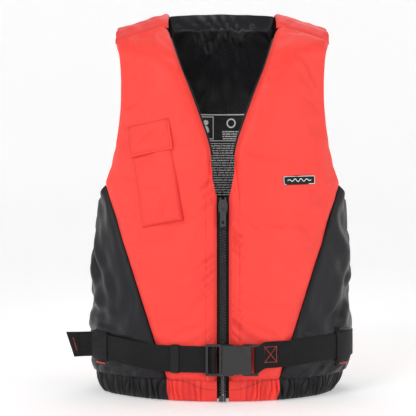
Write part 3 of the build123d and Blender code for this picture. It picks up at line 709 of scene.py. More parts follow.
def settle(obj, pinned, growth, pressure, cap, frames=16, bending=0.25):
    """Swells a panel by cloth simulation and keeps the result in its mesh."""
    mesh = obj.data
    before = np.array([v.co for v in mesh.vertices])
    group = obj.vertex_groups.new(name="pinned")
    group.add([int(i) for i in np.flatnonzero(pinned)], 1.0, "REPLACE")
    cloth = obj.modifiers.new("cloth", "CLOTH")
    wear = cloth.settings
    wear.quality = 4
    wear.mass = 0.12
    wear.tension_stiffness = wear.compression_stiffness = 22
    wear.shear_stiffness = 8
    wear.bending_stiffness = bending
    wear.vertex_group_mass = "pinned"
    wear.pin_stiffness = 1.0
    wear.shrink_min = -growth
    wear.use_pressure = True
    wear.uniform_pressure_force = pressure
    wear.effector_weights.gravity = 0
    cloth.collision_settings.use_collision = False
    cloth.point_cache.frame_start, cloth.point_cache.frame_end = 1, frames
    for step in range(1, frames + 1):
        scene.frame_set(step)
    after_mesh = obj.evaluated_get(bpy.context.evaluated_depsgraph_get()).to_mesh()
    after = np.array([v.co for v in after_mesh.vertices])
    obj.modifiers.remove(cloth)
    obj.vertex_groups.remove(group)
    scene.frame_set(1)
    moved = after - before
    far = np.linalg.norm(moved, axis=1, keepdims=True)
    moved *= cap * np.tanh(far / cap) / np.maximum(far, 1e-9)
    mesh.vertices.foreach_set("co", (before + moved).astype(np.float32).ravel())
    mesh.update()
    print(obj.name, "moved by up to", round(float(far.max()) * 1000, 1), "mm, held to", cap * 1000)
    return obj


def softened(obj, levels=1):
    """One round of subdivision, kept in the mesh."""
    modifier = obj.modifiers.new("smooth", "SUBSURF")
    modifier.levels = modifier.render_levels = levels
    done = bpy.data.meshes.new_from_object(obj.evaluated_get(bpy.context.evaluated_depsgraph_get()))
    obj.modifiers.clear()
    old, obj.data = obj.data, done
    done.name = old.name
    done.polygons.foreach_set("use_smooth", [True] * len(done.polygons))
    return obj


print("settling", "on")


# %% [markdown]
# ## Front panels
# Each front panel is 30 mm of foam in a red shell. The shell turns over the edge at the neck and the armhole in a
# soft roll and shows as a red band there, and it is drawn in along the side seam and the hem.


# %% Front panels
def panel_grid(side, left, right, rows, count):
    """Cloth coordinates of a panel between two edges given as (x, z) for each row."""
    (x0, z0), (x1, z1) = left, right
    width = np.abs(x1 - x0)
    across = np.stack([edge_steps(w, count=count) for w in width])
    x = x0[:, None] + (x1 - x0)[:, None] * across
    z = z0[:, None] + (z1 - z0)[:, None] * across
    return side * x, z, side * round_at(x), up_at(x, z)


def front_panel(name, side, seed):
    rows = edge_steps(0.53, middle=0.0052)
    z_left, z_right = HEM + rows * (NECK_TOP[1] - HEM), HEM + rows * (SHOULDER_TIP[1] - HEM)
    edges = (neck_x(z_left), z_left), (seam_x(z_right), z_right)
    x, z, a, p = panel_grid(side, *edges, rows, 30)
    lines = {
        "neck": pair(a[:, 0], p[:, 0]),
        "side": pair(a[:, -1], p[:, -1]),
        "hem": pair(a[0], p[0]),
        "yoke": pair(a[-1], p[-1]),
    }
    away = {key: distance_to(a, p, line) for key, line in lines.items()}
    arm = smooth(z, 0.325, 0.352)
    neck = roll(away["neck"], 0.0115)
    side_in = roll(away["side"], 0.012) * arm + pressed(away["side"], 0.018, 0.0052) * (1 - arm)
    hem_in = pressed(away["hem"], 0.016, 0.0035)
    yoke_in = pressed(away["yoke"], 0.012, 0.0035)
    edge = np.sqrt(neck**2 + side_in**2 + hem_in**2 + yoke_in**2)
    nearest = np.minimum.reduce(list(away.values()))
    inset = edge + crown(nearest, x, z)
    inside = smooth(nearest, 0.003, 0.03)
    free = inside * (1 - bell(z - belt_height(x), 0.03))
    inset += free * (0.0016 * waves(a, p, 0.13, seed, stretch=1.7) + 0.0005 * waves(a, p, 0.05, seed + 1))
    drawn = bell(away["neck"] - 0.004, 0.011) * smooth(0.36 - z, 0, 0.03)
    ripple = pucker(x, z, side)
    inset += drawn * 0.0013 * ripple
    inset -= hem_fold(a, -1) * 0.0042 * np.exp(-away["hem"] / 0.009)
    seam_pucker = np.exp(-away["side"] / 0.012) * (1 - arm) * smooth(away["side"], 0, 0.003)
    inset += seam_pucker * 0.0006 * np.sin(p / 0.019 * 2 * math.pi + 2.2 * waves(a, p, 0.09, seed + 4))
    for start, end, width, depth in FRONT_CREASES[side]:
        inset += crease(a, p, start, end, width, depth)
    outer = laid(a, p, inset)
    back_in = roll(nearest, 0.005)
    inner = laid(a, p, THICK - back_in + 0.0006 * waves(a, p, 0.06, seed + 5))
    border = rim_of(*a.shape)
    r, c = border[:, 0], border[:, 1]
    out_a, out_p = a[r, c], p[r, c]
    flow_a, flow_p = np.roll(out_a, -1) - np.roll(out_a, 1), np.roll(out_p, -1) - np.roll(out_p, 1)
    long = np.maximum(np.hypot(flow_a, flow_p), 1e-9)
    free_edge = np.where((c == 0) | ((c == a.shape[1] - 1) & (z[r, c] > 0.35)), 1.0, 0.0)
    walls = []
    for share in (0.25, 0.5, 0.75):
        bulge = 0.0012 * math.sin(math.pi * share) * free_edge * side
        depth = inset[r, c] * (1 - share) + (THICK - 0.005) * share
        walls.append(laid(out_a + bulge * flow_p / long, out_p - bulge * flow_a / long, depth))
    # painted shade: colour deepens beside the side, hem and yoke seams and in the valleys of the puckers beside the zip
    dark = 0.7 * np.exp(-np.minimum.reduce([away["side"] / 0.003, away["hem"] / 0.004, away["yoke"] / 0.003]))
    dark = np.maximum(dark, 0.75 * drawn * smooth(ripple, 0.1, 1.0))
    cloth = pair(a, p)
    made = slab(name, outer, inner, cloth, dark, walls, flip=side < 0)
    count = a.size
    pinned = np.ones(len(made.data.vertices), bool)
    loose = (nearest > 0.004) & ~((np.abs(z - belt_height(x)) < 0.023))
    pinned[:count] = ~loose.ravel()
    settle(made, pinned, FOAM_GROWTH, FOAM_PRESSURE, FOAM_CAP)
    softened(made)
    return made


FRONT_CREASES = {
    1: [
        ((0.20, 0.30), (0.135, 0.22), 0.008, 0.0018), ((0.03, 0.17), (0.07, 0.145), 0.005, 0.0015),
        ((0.026, 0.29), (0.060, 0.262), 0.004, 0.0014), ((0.030, 0.125), (0.085, 0.098), 0.006, 0.0018),
        ((0.13, 0.52), (0.165, 0.47), 0.006, 0.0014), ((0.024, 0.235), (0.050, 0.218), 0.004, 0.0013),
    ],
    -1: [
        ((-0.20, 0.30), (-0.15, 0.24), 0.008, 0.0018), ((-0.03, 0.21), (-0.06, 0.19), 0.005, 0.0014),
        ((-0.026, 0.33), (-0.058, 0.342), 0.004, 0.0014), ((-0.028, 0.29), (-0.062, 0.270), 0.004, 0.0014),
        ((-0.030, 0.120), (-0.080, 0.100), 0.006, 0.0018), ((-0.14, 0.51), (-0.17, 0.45), 0.006, 0.0014),
    ],
}
for label, side in SIDES:
    panel = front_panel(f"front_panel_{label}", side, 10 + side)
    nodes = [f"front_{part}_{label}" for part in ("shell", "foam_outer", "foam_inner")]
    finished(panel, RED, "vest", "red_nylon", *nodes)
    print(panel.name, len(panel.data.polygons), "faces")

# %% [markdown]
# ## Back panel
# The back is one wide panel of the same foam. Its top is cut in a shallow curve for the neck, and its two upper
# corners run up beside the shoulder strips. The shell turns over the neck edge, so a thin red rim shows above the
# black lining.

# %% Back panel
def back_top(x):
    """How far up the cloth the back panel reaches at x: the curved neckline, or the shoulder seam."""
    spring = spring_at(x)
    inside = np.clip(np.abs(x), 0, NECK_TOP[0])
    depth = 0.060 - 0.106 + np.sqrt(0.106**2 - inside**2)
    turn = np.where(np.abs(x) <= NECK_TOP[0] + 1e-6, np.arccos(depth / ARCH_DEPTH), YOKE_TURN)
    return spring + ARCH_TURN * turn


def back_panel():
    half = np.concatenate([np.linspace(0, 0.084, 22), [0.0875, 0.0899], [0.0906, 0.0930, 0.0965]])
    rows = edge_steps(0.55, middle=0.0056)
    grids = []
    z_edge = HEM + rows * (SHOULDER_TIP[1] - HEM)
    edge = seam_x(z_edge)
    top_x = np.concatenate([half, 0.0965 + (SHOULDER_TIP[0] - 0.0965) * edge_steps(0.16, count=18)[4:]])
    across = top_x / SHOULDER_TIP[0]
    waist = edge_steps(2 * HEM_SEAM_X, count=2 * len(top_x) - 14)
    waist = (waist[len(waist) // 2:] - 0.5) * 2
    waist = np.interp(np.linspace(0, 1, len(top_x)), np.linspace(0, 1, len(waist)), waist)
    for k, row in enumerate(rows):
        spread = across * row**3 + waist * (1 - row**3)
        x = spread * edge[k]
        top = back_top(top_x)
        p = HEM + (top - HEM) * row
        side_p = up_at(edge[k], z_edge[k])
        lean = np.clip((x / edge[k] - 0.55) / 0.45, 0, 1) ** 2
        p = p * (1 - lean) + side_p * lean if row < 0.999 else p
        grids.append((x, p))
    x = np.array([g[0] for g in grids])
    p = np.array([g[1] for g in grids])
    x = np.concatenate([-x[:, :0:-1], x], 1)
    p = np.concatenate([p[:, :0:-1], p], 1)
    a = round_at(x)
    z = form(a, p, 1)[..., 2]
    top_line = pair(a[-1], p[-1])
    away = {
        "top": distance_to(a, p, top_line),
        "hem": p - p[0],
        "side": np.minimum(
            distance_to(a, p, pair(a[:, -1], p[:, -1])), distance_to(a, p, pair(a[:, 0], p[:, 0]))
        ),
    }
    arm = smooth(z, 0.325, 0.352)
    neck = roll(away["top"], 0.006) * smooth(0.088 - np.abs(x), 0, 0.02)
    yoke_in = pressed(away["top"], 0.012, 0.0035)
    side_in = roll(away["side"], 0.012) * arm + pressed(away["side"], 0.018, 0.0052) * (1 - arm)
    hem_in = pressed(away["hem"], 0.016, 0.0035)
    nearest = np.minimum.reduce(list(away.values()))
    inset = np.sqrt(neck**2 + yoke_in**2 + side_in**2 + hem_in**2) + crown(nearest, np.abs(x) + 0.2, z)
    free = smooth(nearest, 0.003, 0.03) * (1 - bell(z - BELT_BACK_Z, 0.03))
    inset += free * (0.0012 * waves(a, p, 0.15, 31, stretch=1.5) + 0.0004 * waves(a, p, 0.05, 32))
    inset -= hem_fold(a, 1) * 0.0042 * np.exp(-away["hem"] / 0.009)
    outer = raised(laid(a, p, inset, 1))
    inner = raised(laid(a, p, THICK - roll(nearest, 0.005), 1))
    border = rim_of(*a.shape)
    r, c = border[:, 0], border[:, 1]
    walls = [raised(laid(a[r, c], p[r, c], inset[r, c] * (1 - s) + (THICK - 0.005) * s, 1)) for s in (0.3, 0.65)]
    # painted shade: colour deepens beside the side seams and the hem
    dark = np.exp(-np.minimum(away["side"] / 0.004, away["hem"] / 0.005))
    made = slab("back_panel", outer, inner, pair(a, p + 0.8), dark, walls, flip=True)
    pinned = np.ones(len(made.data.vertices), bool)
    pinned[: a.size] = ~((nearest > 0.004) & (np.abs(z - BELT_BACK_Z) > 0.023)).ravel()
    settle(made, pinned, FOAM_GROWTH, FOAM_PRESSURE, FOAM_CAP)
    softened(made)
    return made


def face_the_neck(obj):
    """The lining turns over the neck edge, so the wall there is black."""
    obj.data.materials.append(LINING_BLACK)
    count = 0
    for face in obj.data.polygons:
        centre, normal = face.center, face.normal
        if centre.z > 0.5 and abs(centre.x) < 0.0915 and normal.y < 0.25 and normal.z < 0.93:
            face.material_index = 1
            count += 1
    return count


back = finished(back_panel(), RED, "vest", "red_nylon", "back_shell", "back_foam_outer", "back_foam_inner")
print("faces in lining cloth", face_the_neck(back))
print(back.name, len(back.data.polygons), "faces")

# %% [markdown]
# ## Linings
# Inside, every foam panel is closed by a black satin lining. It is a single loose sheet, so it wrinkles where the
# panels bend: folds run down and outwards from the back of the neck.


# %% Sheets of cloth
def sheet_of(name, outer, cloth, seam, thick=0.0011, flip=False):
    """Closed thin sheet from a grid of points: the grid, and a copy of it behind."""
    du = np.gradient(outer, axis=1)
    dv = np.gradient(outer, axis=0)
    normal = np.cross(du, dv) * (-1 if flip else 1)
    normal /= np.maximum(np.linalg.norm(normal, axis=-1, keepdims=True), 1e-9)
    inner = outer - normal * thick
    pattern_area(cloth)
    return slab(name, outer, inner, cloth, seam, (), flip)


def pattern_area(cloth):
    """Area inside the outline of a pattern piece, from its flat map and not from the hung cloth."""
    border = rim_of(*cloth.shape[:2])
    u, v = cloth[border[:, 0], border[:, 1]].T
    return abs(float(np.dot(u, np.roll(v, -1)) - np.dot(v, np.roll(u, -1)))) / 2


def declare_cloth(obj, area=None):
    """Returns the sheet as it is; nothing is declared. Without an area it is the flat pattern's, which the hung
    cloth can disagree with; the areas passed in were set by hand beside the hung ones. The area is not used."""
    return obj


LINING_INSET, LINING_NECK_X = 0.0308, 0.0885


def back_lining():
    a = round_at(np.linspace(-0.189, 0.189, 101))[None, :] * np.ones((86, 1))
    x = plan(a)[0]
    rows = np.linspace(0, 1, 86)[:, None]
    narrow = seam_x(HEM + rows * (SHOULDER_TIP[1] - HEM)) / 0.1905
    x = x * narrow
    top = back_top(np.abs(x)) - 0.003 * (np.abs(x) < LINING_NECK_X)
    p = HEM + (top - HEM) * rows
    a = round_at(x)
    depth = LINING_INSET + 0.0005
    spread = np.arctan2(x, 0.69 - p) * 11
    fan = bell(0.66 - p, 0.09) * smooth(0.64 - p, 0.0, 0.03)
    folds = 0.0034 * fan * np.sin(spread + 1.5 * waves(a, p, 0.16, 51))
    loose = 0.0022 * waves(a, p, 0.11, 52, stretch=2.2) + 0.0010 * waves(a, p, 0.045, 53, stretch=1.6)
    edge = smooth(np.abs(np.abs(rows - 0.5) - 0.5), 0, 0.04)
    inset = depth + np.abs(folds) + (np.abs(loose) + 0.0006) * edge
    for start, end, width, deep in BACK_CREASES:
        inset += np.abs(crease(a, p, start, end, width, deep))
    climb = np.linspace(0, 1, 15)[1:, None]
    least = np.where(np.abs(x[-1:]) < 0.0895, 0.0012, 0.0070)
    wall_in = (inset[-1:] + 0.0005) * (1 - climb) + least * climb
    wrinkle = np.sin(spread[-1:] * 1.6 + 2 * np.sin(a[-1:] * 41) + 2 * climb) * 0.0016 * (1 - climb) ** 0.5
    at_top = np.abs(x[-1:])
    wall_p = np.where(at_top < 0.0895, back_top(np.minimum(at_top, LINING_NECK_X)), p[-1:])
    wall_p = wall_p + 0.0016 + wrinkle - 0.0042 * (1 - climb) ** 3
    a, p = np.concatenate([a, a[-1:] + 0 * climb]), np.concatenate([p, wall_p])
    inset = np.concatenate([inset, wall_in])
    outer = raised(laid(a, p, inset, 1))
    made = sheet_of("back_lining_cloth", outer, pair(a, p), np.zeros(a.shape), flip=False)
    softened(made)
    declare_cloth(made)
    return made


BACK_CREASES = [
    ((-0.055, 0.66), (-0.03, 0.56), 0.006, 0.004),
    ((-0.02, 0.67), (0.01, 0.56), 0.005, 0.0035),
    ((0.03, 0.665), (0.055, 0.54), 0.006, 0.004),
    ((0.06, 0.66), (0.03, 0.585), 0.005, 0.0035),
    ((-0.07, 0.60), (0.0, 0.555), 0.006, 0.003),
    ((0.02, 0.63), (0.07, 0.59), 0.005, 0.003),
]
finished(back_lining(), LINING_BLACK, "vest", "black_lining", "back_lining")


def front_lining(label, side):
    rows = np.linspace(0, 1, 60)
    z_left, z_right = HEM + rows * (NECK_TOP[1] - HEM), HEM + rows * (SHOULDER_TIP[1] - HEM)
    edges = (neck_x(z_left) + 0.001, z_left), (seam_x(z_right) - 0.001, z_right)
    x, z, a, p = panel_grid(side, *edges, rows, 14)
    nearest = np.minimum.reduce([distance_to(a, p, pair(a[:, k], p[:, k])) for k in (0, -1)])
    inset = LINING_INSET + smooth(nearest, 0.002, 0.03) * np.abs(0.002 * waves(a, p, 0.09, 60 + side, stretch=1.5))
    outer = laid(a, p, inset)
    made = sheet_of(f"front_lining_cloth_{label}", outer, pair(a, p), x * 0, flip=side > 0)
    softened(made)
    declare_cloth(made)
    return made


for label, side in SIDES:
    finished(front_lining(label, side), LINING_BLACK, "vest", "black_lining", f"front_lining_{label}")

# %% [markdown]
# ## Side panels
# The sides have no foam. They are thin black nylon, cut long, so they hang in soft slanting folds between the side
# seam and the belt, with a straight seam down the wearer's side.


# %% Side panels
SIDE_TOP = 0.312


def side_grid(side, rows_count=96, columns=90, top=None, foot=HEM):
    rows = np.linspace(0, 1, rows_count)[:, None]
    share = np.linspace(0, 1, columns)[None, :]
    share = share - 0.035 * np.sin(2 * math.pi * share)
    centre = 1 - np.abs(2 * share - 1)
    high = ARMPIT_Z - 0.001 - (ARMPIT_Z - SIDE_TOP) * np.clip(centre * 1.6, 0, 1) ** 0.8
    z = foot + (high - foot) * rows
    start = round_at(np.clip(seam_x(np.minimum(z, ARMPIT_Z - 1e-6)) + 0.0004, 0, 0.2119))
    a = start + (HALF_ROUND - 2 * start) * share
    return side * a, z, share, start


SIDE_FOLDS = {
    1: [
        ((0.33, 0.30), (0.19, 0.115), 0.013, 0.0055), ((0.285, 0.31), (0.235, 0.20), 0.010, 0.004),
        ((0.30, 0.20), (0.17, 0.105), 0.009, 0.004), ((0.255, 0.335), (0.30, 0.24), 0.009, 0.003),
        ((0.160, 0.060), (0.118, 0.036), 0.004, 0.0034), ((0.182, 0.062), (0.142, 0.038), 0.004, 0.0036),
        ((0.215, 0.062), (0.172, 0.038), 0.005, 0.0034), ((0.245, 0.060), (0.212, 0.040), 0.005, 0.0030),
        ((0.45, 0.30), (0.36, 0.12), 0.012, 0.005), ((0.40, 0.20), (0.33, 0.10), 0.010, 0.004),
    ],
    -1: [
        ((-0.31, 0.29), (-0.20, 0.15), 0.012, 0.005), ((-0.275, 0.30), (-0.235, 0.17), 0.009, 0.004),
        ((-0.30, 0.155), (-0.17, 0.112), 0.008, 0.004), ((-0.22, 0.23), (-0.17, 0.15), 0.010, 0.003),
        ((-0.25, 0.120), (-0.16, 0.104), 0.005, 0.003), ((-0.160, 0.038), (-0.122, 0.054), 0.004, 0.0030),
        ((-0.205, 0.040), (-0.158, 0.058), 0.005, 0.0034), ((-0.235, 0.042), (-0.198, 0.060), 0.005, 0.0030),
        ((-0.44, 0.30), (-0.35, 0.13), 0.012, 0.005), ((-0.39, 0.18), (-0.32, 0.11), 0.009, 0.004),
    ],
}


def side_panel(label, side):
    a, z, share, start = side_grid(side)
    size = np.abs(a)
    away = np.minimum(size - start, HALF_ROUND - start - size)
    inset = pressed(away, 0.014, 0.0052) - 0.0035 * smooth(away, 0, 0.05)
    hem = np.exp(-(z - HEM) / 0.010)
    inset += pressed(z - HEM, 0.016, 0.0035)
    belt = bell(z - BELT_BACK_Z, 0.022, 4)
    free = smooth(away, 0.0, 0.03) * (1 - belt) * smooth(z, HEM, HEM + 0.02)
    sag = 0.0034 * waves(a + 0.75 * z * side, z, 0.075, 70 + side, stretch=2.6)
    inset += free * (sag + 0.0008 * waves(a, z, 0.035, 75 + side, stretch=1.8))
    for begin, end, width, depth in SIDE_FOLDS[side]:
        inset += crease(a, z, begin, end, width, depth) * (1 - belt)
    inset += belt * (np.maximum(inset, -0.0014) - inset)
    seam = np.abs(size - HALF_ROUND / 2 + 0.012)
    inset += 0.0022 * bell(seam, 0.0016) - 0.0007 * bell(seam - 0.005, 0.003)
    inset -= hem_fold(a, -1) * 0.0042 * hem
    inset += drawn_in(a, z, side)
    middle = bell(size - HALF_ROUND / 2, 0.085) * smooth(away, 0, 0.04)
    inset += middle * (0.0045 * smooth(z, 0.105, 0.14) + 0.0085 * smooth(z, 0.22, 0.315))
    outer = laid(a, z, inset)
    # painted shade: colour deepens beside the seams at its edges and along the side seam
    dark = np.maximum(np.exp(-away / 0.004), bell(seam, 0.002))
    made = sheet_of(f"side_cloth_{label}", outer, pair(a, z), dark, flip=side < 0)
    softened(made)
    declare_cloth(made)
    lining = laid(a, z, np.maximum(inset, 0) + 0.0035)
    inside = sheet_of(f"side_lining_cloth_{label}", lining, pair(a, z), dark * 0, flip=side < 0)
    declare_cloth(inside)
    finished(inside, LINING_BLACK, "vest", "black_lining", f"side_lining_{label}")
    return made


for label, side in SIDES:
    finished(side_panel(label, side), SIDE_BLACK, "vest", "black_side", f"side_panel_{label}")

# %% [markdown]
# ## Shoulder yokes
# Two straps of thinner red cloth join the front panels to the back over the shoulders. They carry no foam, so they
# lie flat in the middle, with small folds where they turn under at the armhole.


# %% Yokes
def yoke(label, side):
    """Strap from the front panel's top edge to the back's; its ends lap the panels and dive into their seams."""
    lap = 0.006
    start, end = NECK_TOP[0] - 0.0030, SHOULDER_TIP[0] + 0.0006
    x = np.linspace(start, end, 38)[None, :]
    turn = np.linspace(YOKE_TURN - lap / ARCH_TURN, math.pi - YOKE_TURN + lap / ARCH_TURN, 64)[:, None]
    x, turn = np.broadcast_arrays(x, turn)
    spring = spring_at(x)
    a, p = side * round_at(x), spring + ARCH_TURN * turn
    past = -np.minimum(turn - YOKE_TURN, math.pi - YOKE_TURN - turn) * ARCH_TURN
    near_end = np.minimum(x - start, end - x)
    over = 0.0035 * (1 - np.clip(past, 0, lap) / 0.012) ** 2 - 0.0010 - 0.0009 * np.clip(past, 0, lap) / lap
    dip = np.where(past > 0, over, (over + 0.0016) * np.exp(-np.clip(-past, 0, 1) / 0.006) - 0.0016)
    inset = dip + 0.0045 * smooth(past, 0.0038, lap) + roll(near_end, 0.005)
    inset += 0.0008 * waves(a, p, 0.035, 80 + side) * smooth(-past, 0, 0.01)
    inset += 0.0014 * np.exp(-(SHOULDER_TIP[0] - x) / 0.014) * np.sin(turn * 34 + side) * smooth(-past, 0, 0.01)
    outer = laid(a, p, inset)
    # painted shade: colour deepens along the lapped seams and towards the shoulder tip where the strap turns under
    dark = np.maximum(0.35 * np.exp(-np.abs(past) / 0.002), 0.6 * np.exp(-(SHOULDER_TIP[0] - x) / 0.004))
    made = sheet_of(f"yoke_cloth_{label}", outer, pair(a, p), dark, flip=side < 0)
    softened(made)
    declare_cloth(made, 0.0901 * 0.157)
    x = 0.0935 + (x - start) * (SHOULDER_TIP[0] - 0.005 - 0.0935) / (end - start)
    turn = math.pi / 2 + (turn - math.pi / 2) * 0.86
    spring = spring_at(x)
    a, p = side * round_at(x), spring + ARCH_TURN * turn
    inside = sheet_of(f"yoke_lining_cloth_{label}", laid(a, p, 0.0065 + 0 * a), pair(a, p), dark * 0, flip=side < 0)
    declare_cloth(inside, 0.0775 * 0.133)
    finished(inside, LINING_BLACK, "vest", "black_lining", f"shoulder_lining_{label}")
    return made


for label, side in SIDES:
    finished(yoke(label, side), YOKE_RED, "vest", "red_yoke", f"shoulder_yoke_{label}")

# %% [markdown]
# ## Bindings
# A narrow black tape, folded over the raw edges, runs along the neckline and round each armhole on the inside.


# %% Bindings
def tube_along(name, path, radii, cloth_from=0.0, around=10, pinch=None):
    """Closed tube along points; radii is (sideways, outwards) and side directions follow the form."""
    path = np.asarray(path, float)
    flow = np.gradient(path, axis=0)
    flow /= np.linalg.norm(flow, axis=1, keepdims=True)
    lean = np.array(pinch if pinch is not None else (0, -1, 0), float)
    lean = np.broadcast_to(lean, path.shape)
    across = np.cross(flow, lean)
    across /= np.maximum(np.linalg.norm(across, axis=1, keepdims=True), 1e-9)
    up = np.cross(across, flow)
    turn = np.linspace(0, 2 * math.pi, around, endpoint=False)
    ring = across[:, None] * np.cos(turn)[None, :, None] * radii[0] + up[:, None] * np.sin(turn)[None, :, None] * radii[
        1
    ]
    points = (path[:, None] + ring).reshape(-1, 3)
    rows = len(path)
    faces = tube_faces(rows, around)
    step = travelled(path)
    cloth = np.stack(np.broadcast_arrays(turn[None, :] * radii[0], step[:, None] + cloth_from), -1).reshape(-1, 2)
    return new_mesh(name, points, faces, cloth, np.zeros(len(points)))


def bound_edge(name, a, p, inset, facing, radii, node):
    path = laid(np.asarray(a), np.asarray(p), np.full(len(a), inset), facing)
    lean = outwards(np.asarray(a), np.asarray(p), facing)
    made = tube_along(name, path, radii, pinch=lean)
    return finished(made, BINDING_BLACK, "vest", "binding", *node)


for label, side in SIDES:
    z = np.linspace(0.3795, NECK_TOP[1] - 0.001, 90)
    x = neck_x(z) - 0.0012
    bound_edge(
        f"neck_piping_{label}", side * round_at(x), up_at(x, z), 0.0288, -1, (0.0021, 0.0026),
        [f"neck_binding_{label}"]
    )
    z = np.linspace(ARMPIT_Z, SHOULDER_TIP[1] - 0.006, 70)
    x = seam_x(z) - 0.0016
    front_line = laid(side * round_at(x), up_at(x, z), np.full(70, 0.0288), -1)
    back_line = laid(side * round_at(x), up_at(x, z), np.full(70, 0.0288), 1)
    for part, line, facing in (("front", front_line, -1), ("back", back_line, 1)):
        lean = outwards(side * round_at(x), up_at(x, z), facing)
        made = tube_along(f"armhole_piping_{part}_{label}", line, (0.0021, 0.0026), pinch=lean)
        nodes = [f"armhole_binding_{label}"] if part == "front" else []
        finished(made, BINDING_BLACK, "vest", "binding", *nodes)

# %% [markdown]
# ## Gathered hem
# The hem is a casing with elastic drawn through it. Stretched elastic sewn to flat cloth leaves upright folds when
# it relaxes: close together, uneven in height, and deepest between the two rows of stitching.


# %% Hem casing
HEM_FULLNESS, HEM_FOLDED = 1.3, 0.037


def hem_piece(name, start, end, facing, material, slot, nodes):
    a = np.linspace(start, end, max(int(abs(end - start) / 0.0007), 20))
    low = 0.0012
    heights = np.concatenate([[HEM + 0.0035, HEM + 0.0015], np.linspace(HEM, 0.006, 18), [0.0035, low + 0.0003, low]])
    back_heights = np.concatenate([[low, low + 0.0006, 0.004], np.linspace(0.007, HEM - 0.001, 9)])
    fold = hem_fold(a, facing)
    sign = np.sign((start + end) / 2) if facing < 0 else np.sign(a)
    drawn = lambda h: 0.0005 + (drawn_in(a, h, sign) if facing < 0 else 0.0) + 0.0075 * ((HEM - h) / HEM) ** 1.5
    rings = []
    for k, h in enumerate(heights):
        lean = 0.0022 * np.sin(a * 190 + h * 120) * smooth(np.abs(a), 0.03, 0.05)
        here = hem_fold(a + lean + 0.0025 * (h - 0.017) / 0.017 * np.sin(a * 83), facing)
        deep = 0.0062 * math.sin(math.pi * min(max((HEM + 0.004 - h) / (HEM + 0.004), 0), 1)) ** 0.6
        inset = 0.0035 + drawn(min(h, HEM)) - here * max(deep, 0.0026) - 0.0016 * math.sin(math.pi * min(h / HEM, 1))
        inset += max(h - HEM, 0) * 1.6
        if k >= len(heights) - 3:
            inset += (k - len(heights) + 4) * 0.0007
        rise = 0.0022 * (0.5 - fold) * (1 - h / HEM)
        rings.append(laid(a, np.maximum(h + rise, 0.0004), inset, facing))
    for k, h in enumerate(back_heights):
        inset = 0.0088 + drawn(h) - fold * 0.0016 - 0.0014 * max(2 - k, 0)
        rings.append(laid(a, np.full(a.shape, max(h, 0.0005)), inset, facing))
    points = np.stack(rings, 1)
    along, round_it = points.shape[:2]
    faces = tube_faces(along, round_it)
    cloth = np.stack(np.broadcast_arrays(a[:, None] * 1.6, np.linspace(0, 0.08, round_it)[None, :]), -1).reshape(
        -1, 2
    )
    # painted shade: colour deepens in the valleys between the gathers
    seam = np.broadcast_to((0.42 - fold * 1.1)[:, None], (along, round_it)).clip(0, 1).ravel()
    made = new_mesh(name, points.reshape(-1, 3), faces, cloth, seam)
    face_outwards(made)
    finished(made, material, "vest", slot, *nodes)
    rest = "back_panel" if facing > 0 else "front_panel_left" if end > 0 else "front_panel_right"
    length = abs(end - start) * HEM_FULLNESS
    declare_cloth(made, length * HEM_FOLDED)
    return made


HEM_A = float(round_at(HEM_SEAM_X))
for label, side in SIDES:
    hem_piece(f"hem_casing_front_{label}", side * 0.0095, side * HEM_A, -1, RED, "red_nylon", [f"hem_front_{label}"])
    end = HALF_ROUND - HEM_A
    hem_piece(
        f"hem_casing_side_{label}", side * (HEM_A + 0.0002), side * end, -1, SIDE_BLACK, "black_side",
        [f"hem_side_{label}"]
    )
hem_piece("hem_casing_back", -HEM_A, HEM_A, 1, RED, "red_nylon", ["hem_back", "hem_elastic"])
print("hem in five lengths")


# %% Points on the skin
def on_skin(target, x, z, lift=0.0003, start=-0.5):
    """The nearest points in front of the wearer on some pieces, at the places x and z, lifted off them."""
    graph = bpy.context.evaluated_depsgraph_get()
    skins = [BVHTree.FromObject(bpy.data.objects[name], graph) for name in target]
    line = []
    for across, up in zip(x, z):
        hits = [skin.ray_cast((across, start, up), (0, 1, 0))[0] for skin in skins]
        depths = [hit[1] for hit in hits if hit is not None]
        if depths:
            line.append((across, min(depths) - lift, up))
    return np.array(line)


# %% [markdown]
# ## Stitches and teeth by Geometry Nodes
# Thread is what makes cloth look sewn. Two small trees do all of it: one lays single stitches along a path, and one
# turns a path into a continuous thread, for bar tacks and embroidery. A third repeats the moulded tooth of the zip.


